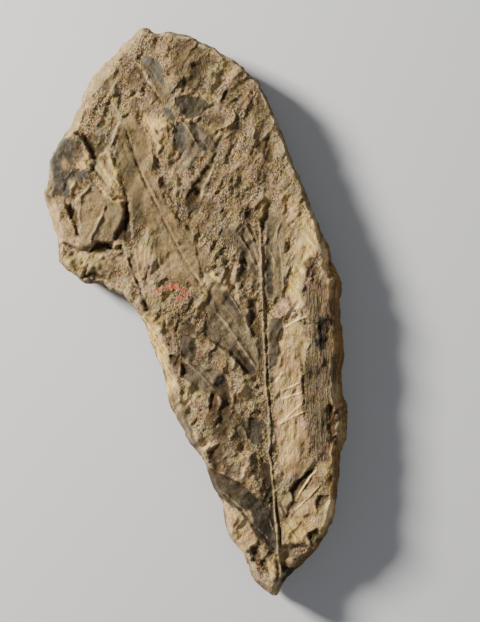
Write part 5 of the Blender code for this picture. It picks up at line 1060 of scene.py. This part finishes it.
brokenLook = {  # sides and underside
    "stone": {"Pale": fromScreen(172, 150, 116), "Middle": fromScreen(138, 117, 86),
              "Dark": fromScreen(92, 74, 52), "Scale": 0.8},
    "bedFlatness": 0.08,  # the bedding is drawn out this much along the plate
    "bedScale": 520.0,
    "bedColour": fromScreen(118, 98, 70),
    "bedStrength": 0.5,
    "stains": {"rust": (0.3, fromScreen(116, 90, 56)), "paleRim": (0.5, fromScreen(186, 162, 124))},
    "stainStrength": 0.4,
    "stainSoft": 3.0,
    "stainRagged": 1.2,
    "roughness": 0.93,
    "bumpReach": 0.0012,
    "startsBelow": 1.2,  # depth under the face, in mm, where the broken stone begins
}


def feed(tree, target, given):  # a number or a colour is set on a socket, an output is linked to it
    if isinstance(given, (int, float, tuple)):
        target.default_value = given
    else:
        tree.links.new(given, target)


def startGroup(name, inputs, outputs):
    group = bpy.data.node_groups.new(name, "ShaderNodeTree")
    for label, (kind, value) in inputs.items():
        made = group.interface.new_socket(name=label, in_out="INPUT", socket_type="NodeSocket" + kind)
        made.default_value = value
    for label, kind in outputs.items():
        group.interface.new_socket(name=label, in_out="OUTPUT", socket_type="NodeSocket" + kind)
    entry = group.nodes.new("NodeGroupInput")
    leave = group.nodes.new("NodeGroupOutput")
    return group, entry.outputs, leave.inputs


def mathNode(tree, operation, first, second):
    node = tree.nodes.new("ShaderNodeMath")
    node.operation = operation
    feed(tree, node.inputs[0], first)
    feed(tree, node.inputs[1], second)
    return node.outputs[0]


def times(tree, first, second):
    return mathNode(tree, "MULTIPLY", first, second)


def plus(tree, first, second):
    return mathNode(tree, "ADD", first, second)


def minus(tree, first, second):
    return mathNode(tree, "SUBTRACT", first, second)


def noiseNode(tree, vector, scale, detail, roughness=0.55):
    node = tree.nodes.new("ShaderNodeTexNoise")
    for name, given in (("Vector", vector), ("Scale", scale), ("Detail", detail), ("Roughness", roughness)):
        feed(tree, node.inputs[name], given)
    return node.outputs[0]


def rampNode(tree, value, low, high, toLow=0.0, toHigh=1.0):
    node = tree.nodes.new("ShaderNodeMapRange")
    node.interpolation_type = "SMOOTHSTEP"
    ends = {"Value": value, "From Min": low, "From Max": high, "To Min": toLow, "To Max": toHigh}
    for name, given in ends.items():
        feed(tree, node.inputs[name], given)
    return node.outputs["Result"]


def mixColour(tree, factor, first, second, blend="MIX"):
    node = tree.nodes.new("ShaderNodeMix")
    node.data_type = "RGBA"
    node.blend_type = blend
    for index, given in ((0, factor), (6, first), (7, second)):
        feed(tree, node.inputs[index], given)
    return node.outputs[2]


def objectPlace(tree):
    return tree.nodes.new("ShaderNodeTexCoord").outputs["Object"]


def stretchedPlace(tree, degrees, stretch):  # Object coordinates squeezed along a direction
    turn = tree.nodes.new("ShaderNodeMapping")
    turn.inputs["Rotation"].default_value = (0, 0, math.radians(-degrees))
    tree.links.new(objectPlace(tree), turn.inputs["Vector"])
    squeeze = tree.nodes.new("ShaderNodeMapping")
    squeeze.inputs["Scale"].default_value = (1.0 / stretch, 1.0, 1.0)
    tree.links.new(turn.outputs[0], squeeze.inputs["Vector"])
    return squeeze.outputs[0]


def makeSiltstoneGroup():  # speckled stone: three colours by noise, and a height for the bump
    group, entry, leave = startGroup("speckledStone", {
        "Pale": ("Color", fromScreen(190, 170, 140)),
        "Middle": ("Color", fromScreen(150, 130, 100)),
        "Dark": ("Color", fromScreen(105, 88, 66)),
        "Stain": ("Color", fromScreen(108, 98, 76)),
        "Scale": ("Float", 1.0),
    }, {"Color": "Color", "Height": "Float", "Blotch": "Float"})
    place = stretchedPlace(group, plate["grainRun"], stoneLook["grainStretch"])

    def scaledNoise(scale, detail, roughness=0.55):
        return noiseNode(group, place, times(group, entry["Scale"], scale), detail, roughness)

    broad = scaledNoise(90.0, 3.0)
    grains = scaledNoise(1350.0, 3.0, 0.8)
    specks = scaledNoise(2300.0, 1.0, 0.6)
    tone = plus(group, times(group, broad, 0.45), times(group, grains, 0.55))
    colour = mixColour(group, rampNode(group, tone, 0.36, 0.5), entry["Dark"], entry["Middle"])
    colour = mixColour(group, rampNode(group, tone, 0.5, 0.64), colour, entry["Pale"])
    stain = rampNode(group, scaledNoise(210.0, 3.0), 0.5, 0.66)
    colour = mixColour(group, times(group, stain, 0.35), colour, entry["Stain"])
    patches = rampNode(group, scaledNoise(230.0, 2.0), 0.4, 0.6, 0.4, 1.0)
    fleck = times(group, rampNode(group, specks, 0.52, 0.62), times(group, patches, 0.85))
    colour = mixColour(group, fleck, colour, entry["Pale"])
    pit = times(group, rampNode(group, specks, 0.47, 0.36), times(group, patches, 0.9))
    colour = mixColour(group, pit, colour, entry["Dark"])
    group.links.new(colour, leave["Color"])
    blotch = plus(group, times(group, broad, 0.5), times(group, grains, 0.5))
    group.links.new(rampNode(group, blotch, 0.4, 0.6), leave["Blotch"])
    height = plus(group, times(group, grains, 0.5), times(group, specks, 0.5))
    group.links.new(times(group, minus(group, height, 0.5), patches), leave["Height"])
    return group


def makeMaskGroup():  # a distance to an outline turned into a mask with a ragged, flaking edge
    group, entry, leave = startGroup("raggedMask", {
        "Distance": ("Float", 0.0),
        "Soft": ("Float", 0.3),
        "Ragged": ("Float", 0.5),
        "Flaking": ("Float", 0.2),
    }, {"Mask": "Float"})
    place = objectPlace(group)
    edge = noiseNode(group, place, 700.0, 3.0, 0.65)
    shift = times(group, minus(group, edge, 0.5), entry["Ragged"])
    distance = plus(group, entry["Distance"], times(group, shift, 4.0))
    mask = rampNode(group, distance, times(group, entry["Soft"], -1.0), entry["Soft"])
    flakes = rampNode(group, noiseNode(group, place, 480.0, 5.0, 0.75), 0.52, 0.66)
    kept = minus(group, 1.0, times(group, flakes, entry["Flaking"]))
    group.links.new(times(group, mask, kept), leave["Mask"])
    return group


def makeCrestAndHollowShadeGroup():  # pale crests and darkened hollows from the relief: the crests partly worn stone and partly painted highlight, the hollows painted shade
    group, entry, leave = startGroup("crestAndHollow", {
        "Color": ("Color", (0.2, 0.16, 0.11, 1.0)),
        "Relief": ("Float", 0.0),
        "Crest": ("Float", 0.3),
        "Hollow": ("Float", 0.4),
        "Crest Color": ("Color", fromScreen(205, 184, 150)),
        "Hollow Color": ("Color", fromScreen(66, 50, 32)),
    }, {"Color": "Color"})
    crest = times(group, rampNode(group, entry["Relief"], 0.05, 0.45), entry["Crest"])
    hollow = times(group, rampNode(group, entry["Relief"], -0.1, -0.7), entry["Hollow"])
    colour = mixColour(group, crest, entry["Color"], entry["Crest Color"])
    colour = mixColour(group, hollow, colour, entry["Hollow Color"])
    group.links.new(colour, leave["Color"])
    return group


def makeHueGroup():  # drifts of hue, pinkish to olive and yellow to grey
    group, entry, leave = startGroup("hueDrift", {
        "Color": ("Color", (0.2, 0.16, 0.11, 1.0)),
        "Calm": ("Float", 0.0),
    }, {"Color": "Color"})
    place = objectPlace(group)
    spread = times(group, entry["Calm"], 0.12)
    low = minus(group, 0.38, spread)
    high = plus(group, 0.62, spread)
    colour = entry["Color"]
    for scale, one, other in ((260.0, (1.07, 0.92, 0.95, 1.0), (0.9, 1.02, 0.93, 1.0)),
                              (310.0, (1.0, 0.98, 0.66, 1.0), (0.95, 0.96, 1.12, 1.0))):
        drift = rampNode(group, noiseNode(group, place, scale, 6.0, 0.85), low, high)
        colour = mixColour(group, 1.0, colour, mixColour(group, drift, one, other), "MULTIPLY")
    group.links.new(colour, leave["Color"])
    return group


def makeFibreGroup():  # long streaks along one direction: a value for colour and height
    group, entry, leave = startGroup("fibres", {
        "Vector": ("Vector", (0, 0, 0)),
        "Scale": ("Float", 900.0),
    }, {"Value": "Float"})
    coarse = noiseNode(group, entry["Vector"], entry["Scale"], 3.0, 0.6)
    thin = noiseNode(group, entry["Vector"], times(group, entry["Scale"], 2.7), 2.0)
    value = plus(group, times(group, coarse, 0.6), times(group, thin, 0.4))
    group.links.new(rampNode(group, value, 0.36, 0.64), leave["Value"])
    return group


def placeGroup(tree, group, **values):
    node = tree.nodes.new("ShaderNodeGroup")
    node.node_tree = group
    for name, given in values.items():
        feed(tree, node.inputs[name], given)
    return node.outputs


def attribute(tree, name):
    node = tree.nodes.new("ShaderNodeAttribute")
    node.attribute_name = name
    return node.outputs["Fac"]


def startMaterial(name):
    material = bpy.data.materials.new(name)
    material.use_nodes = True
    return material, material.node_tree, material.node_tree.nodes["Principled BSDF"]


def finishStone(tree, shader, colour, roughness, height, bumpReach):  # the shader's sockets and the bump
    feed(tree, shader.inputs["Base Color"], colour)
    feed(tree, shader.inputs["Roughness"], roughness)
    shader.inputs["Specular IOR Level"].default_value = stoneLook["specular"]
    bump = tree.nodes.new("ShaderNodeBump")
    bump.inputs["Strength"].default_value = 1.0
    bump.inputs["Distance"].default_value = bumpReach
    tree.links.new(height, bump.inputs["Height"])
    tree.links.new(bump.outputs[0], shader.inputs["Normal"])


def maskOf(tree, groups, name, soft, ragged, flaking):
    return placeGroup(tree, groups["mask"], Distance=attribute(tree, name), Soft=soft, Ragged=ragged,
                      Flaking=flaking)["Mask"]


def makeFossilFace(groups):
    material, tree, shader = startMaterial("fossilFace")
    stone = placeGroup(tree, groups["stone"], **stoneLook["face"])
    mottle = {"blotch": stone["Blotch"]}
    for name, (turn, stretch, scale) in stoneLook["fibres"].items():
        place = stretchedPlace(tree, turn, stretch)
        mottle[name] = placeGroup(tree, groups["fibres"], Vector=place, Scale=scale)["Value"]
    colour = stone["Color"]
    filmMask = 0.0
    for name, (pale, deep, soft, ragged, flaking, strength, pattern) in skinLook.items():
        mask = maskOf(tree, groups, name, soft, ragged, flaking)
        skin = mixColour(tree, mottle[pattern], fromScreen(*deep), fromScreen(*pale))
        colour = mixColour(tree, times(tree, mask, strength), colour, skin)
        if name in films:
            filmMask = mathNode(tree, "MAXIMUM", filmMask, mask)
    # paler and darker tints from the tone attribute: painted light and painted shade as well as the stone's
    # own tones
    tone = attribute(tree, "tone")
    for end, tints in ((1.0, stoneLook["lifted"]), (-1.0, stoneLook["darkToneAndPaintedShade"])):
        amount = rampNode(tree, tone, 0.0, end, 0.0, stoneLook["toneStrength"])
        colour = mixColour(tree, amount, colour, mixColour(tree, mottle["blotch"], *tints))
    smooth = attribute(tree, "smooth")
    calmed = mathNode(tree, "MAXIMUM", filmMask, smooth)
    crest = minus(tree, stoneLook["crests"], times(tree, calmed, stoneLook["smoothCrests"]))
    # paler crests and darker hollows from the relief: painted highlight and painted shade
    colour = placeGroup(tree, groups["crestsAndShade"], Color=colour, Relief=attribute(tree, "relief"), Crest=crest,
                        Hollow=stoneLook["hollows"])["Color"]
    colour = placeGroup(tree, groups["hue"], Color=colour, Calm=smooth)["Color"]
    for name, (tint, soft, ragged, flaking, strength) in strokeLook.items():
        mask = maskOf(tree, groups, name, soft, ragged, flaking)
        colour = mixColour(tree, times(tree, mask, strength), colour, fromScreen(*tint))
    height = times(tree, stone["Height"], minus(tree, 1.0, times(tree, calmed, stoneLook["smoothBump"])))
    fibrous = rampNode(tree, attribute(tree, "fibrous"), -0.5, 0.5)
    for name, share in (("upright", times(tree, fibrous, stoneLook["fibreBump"])),
                        ("slanting", times(tree, filmMask, stoneLook["filmBump"]))):
        height = plus(tree, height, times(tree, mottle[name], share))
    roughness = minus(tree, stoneLook["roughness"], times(tree, filmMask, stoneLook["filmShine"]))
    finishStone(tree, shader, colour, roughness, height, stoneLook["bumpReach"])
    return material


def makeBrokenStone(groups):
    material, tree, shader = startMaterial("brokenStone")
    stone = placeGroup(tree, groups["stone"], **brokenLook["stone"])
    beds = tree.nodes.new("ShaderNodeMapping")
    beds.inputs["Scale"].default_value = (brokenLook["bedFlatness"], brokenLook["bedFlatness"], 1.0)
    tree.links.new(objectPlace(tree), beds.inputs["Vector"])
    layers = placeGroup(tree, groups["fibres"], Vector=beds.outputs[0], Scale=brokenLook["bedScale"])
    layers = layers["Value"]
    colour = mixColour(tree, times(tree, layers, brokenLook["bedStrength"]), stone["Color"],
                       brokenLook["bedColour"])
    for name, (flaking, tint) in brokenLook["stains"].items():
        mask = maskOf(tree, groups, name, brokenLook["stainSoft"], brokenLook["stainRagged"], flaking)
        colour = mixColour(tree, times(tree, mask, brokenLook["stainStrength"]), colour, tint)
    colour = placeGroup(tree, groups["hue"], Color=colour)["Color"]
    height = plus(tree, stone["Height"], layers)
    finishStone(tree, shader, colour, brokenLook["roughness"], height, brokenLook["bumpReach"])
    return material


def makeStone():
    print("stone: blank")
    stone = makeBlank()
    print("stone: relief")
    shapeStone(stone)
    print("stone: materials")
    groups = {"stone": makeSiltstoneGroup(), "mask": makeMaskGroup(), "crestsAndShade": makeCrestAndHollowShadeGroup(),
              "fibres": makeFibreGroup(), "hue": makeHueGroup()}
    mesh = stone.data
    mesh.materials.clear()
    mesh.materials.append(makeFossilFace(groups))
    mesh.materials.append(makeBrokenStone(groups))
    sideOf = np.empty(len(mesh.vertices), dtype=np.float32)
    mesh.attributes["side"].data.foreach_get("value", sideOf)
    for face in mesh.polygons:
        lowest = max(sideOf[v] for v in face.vertices)
        face.material_index = 1 if lowest > brokenLook["startsBelow"] else 0
    mesh.shade_smooth()
    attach(stone, "root")
    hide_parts("fossil_plate")


studio = {
    "floorSize": 2.4,
    "floorColour": (0.68, 0.7, 0.74, 1.0),
    "cameraPlace": (14.3, 0.5, 571.5),  # straight above, millimetres
    "lens": 100.0,
    "sensorWidth": 36.0,
    "worldColour": (0.95, 0.97, 1.0, 1.0),
    "worldStrength": 0.12,
}
# Area lights: where from, distance, size, power, colour. The key light rakes in from the upper left
lights = {
    "keyLight": ((-0.78, 0.44, 0.52), 0.9, 0.2, 22.0, (1.0, 0.94, 0.85)),
    "fillLight": ((0.5, -0.4, 0.8), 1.2, 1.0, 2.0, (1, 1, 1)),
}


def makeFloor():
    bm = bmesh.new()
    bmesh.ops.create_grid(bm, x_segments=1, y_segments=1, size=studio["floorSize"] / 2.0)
    mesh = bpy.data.meshes.new("floor")
    bm.to_mesh(mesh)
    bm.free()
    material, tree, shader = startMaterial("palePaper")
    shader.inputs["Base Color"].default_value = studio["floorColour"]
    shader.inputs["Roughness"].default_value = 0.9
    mesh.materials.append(material)
    newObject("floor", mesh)


def makeStudio():
    print("studio")
    makeFloor()
    for name, (direction, distance, size, power, colour) in lights.items():
        data = bpy.data.lights.new(name, "AREA")
        data.energy = power
        data.size = size
        data.color = colour
        towards = Vector(direction).normalized()
        light = newObject(name, data)
        light.location = towards * distance
        light.rotation_euler = towards.to_track_quat("Z", "Y").to_euler()
    world = bpy.data.worlds.new("studioAir")
    world.use_nodes = True
    air = world.node_tree.nodes["Background"]
    air.inputs["Color"].default_value = studio["worldColour"]
    air.inputs["Strength"].default_value = studio["worldStrength"]
    bpy.context.scene.world = world
    data = bpy.data.cameras.new("camera")
    data.lens = studio["lens"]
    data.sensor_width = studio["sensorWidth"]
    camera = newObject("camera", data)
    camera.location = Vector(studio["cameraPlace"]) * mm
    bpy.context.scene.camera = camera


makeStone()
makeStudio()
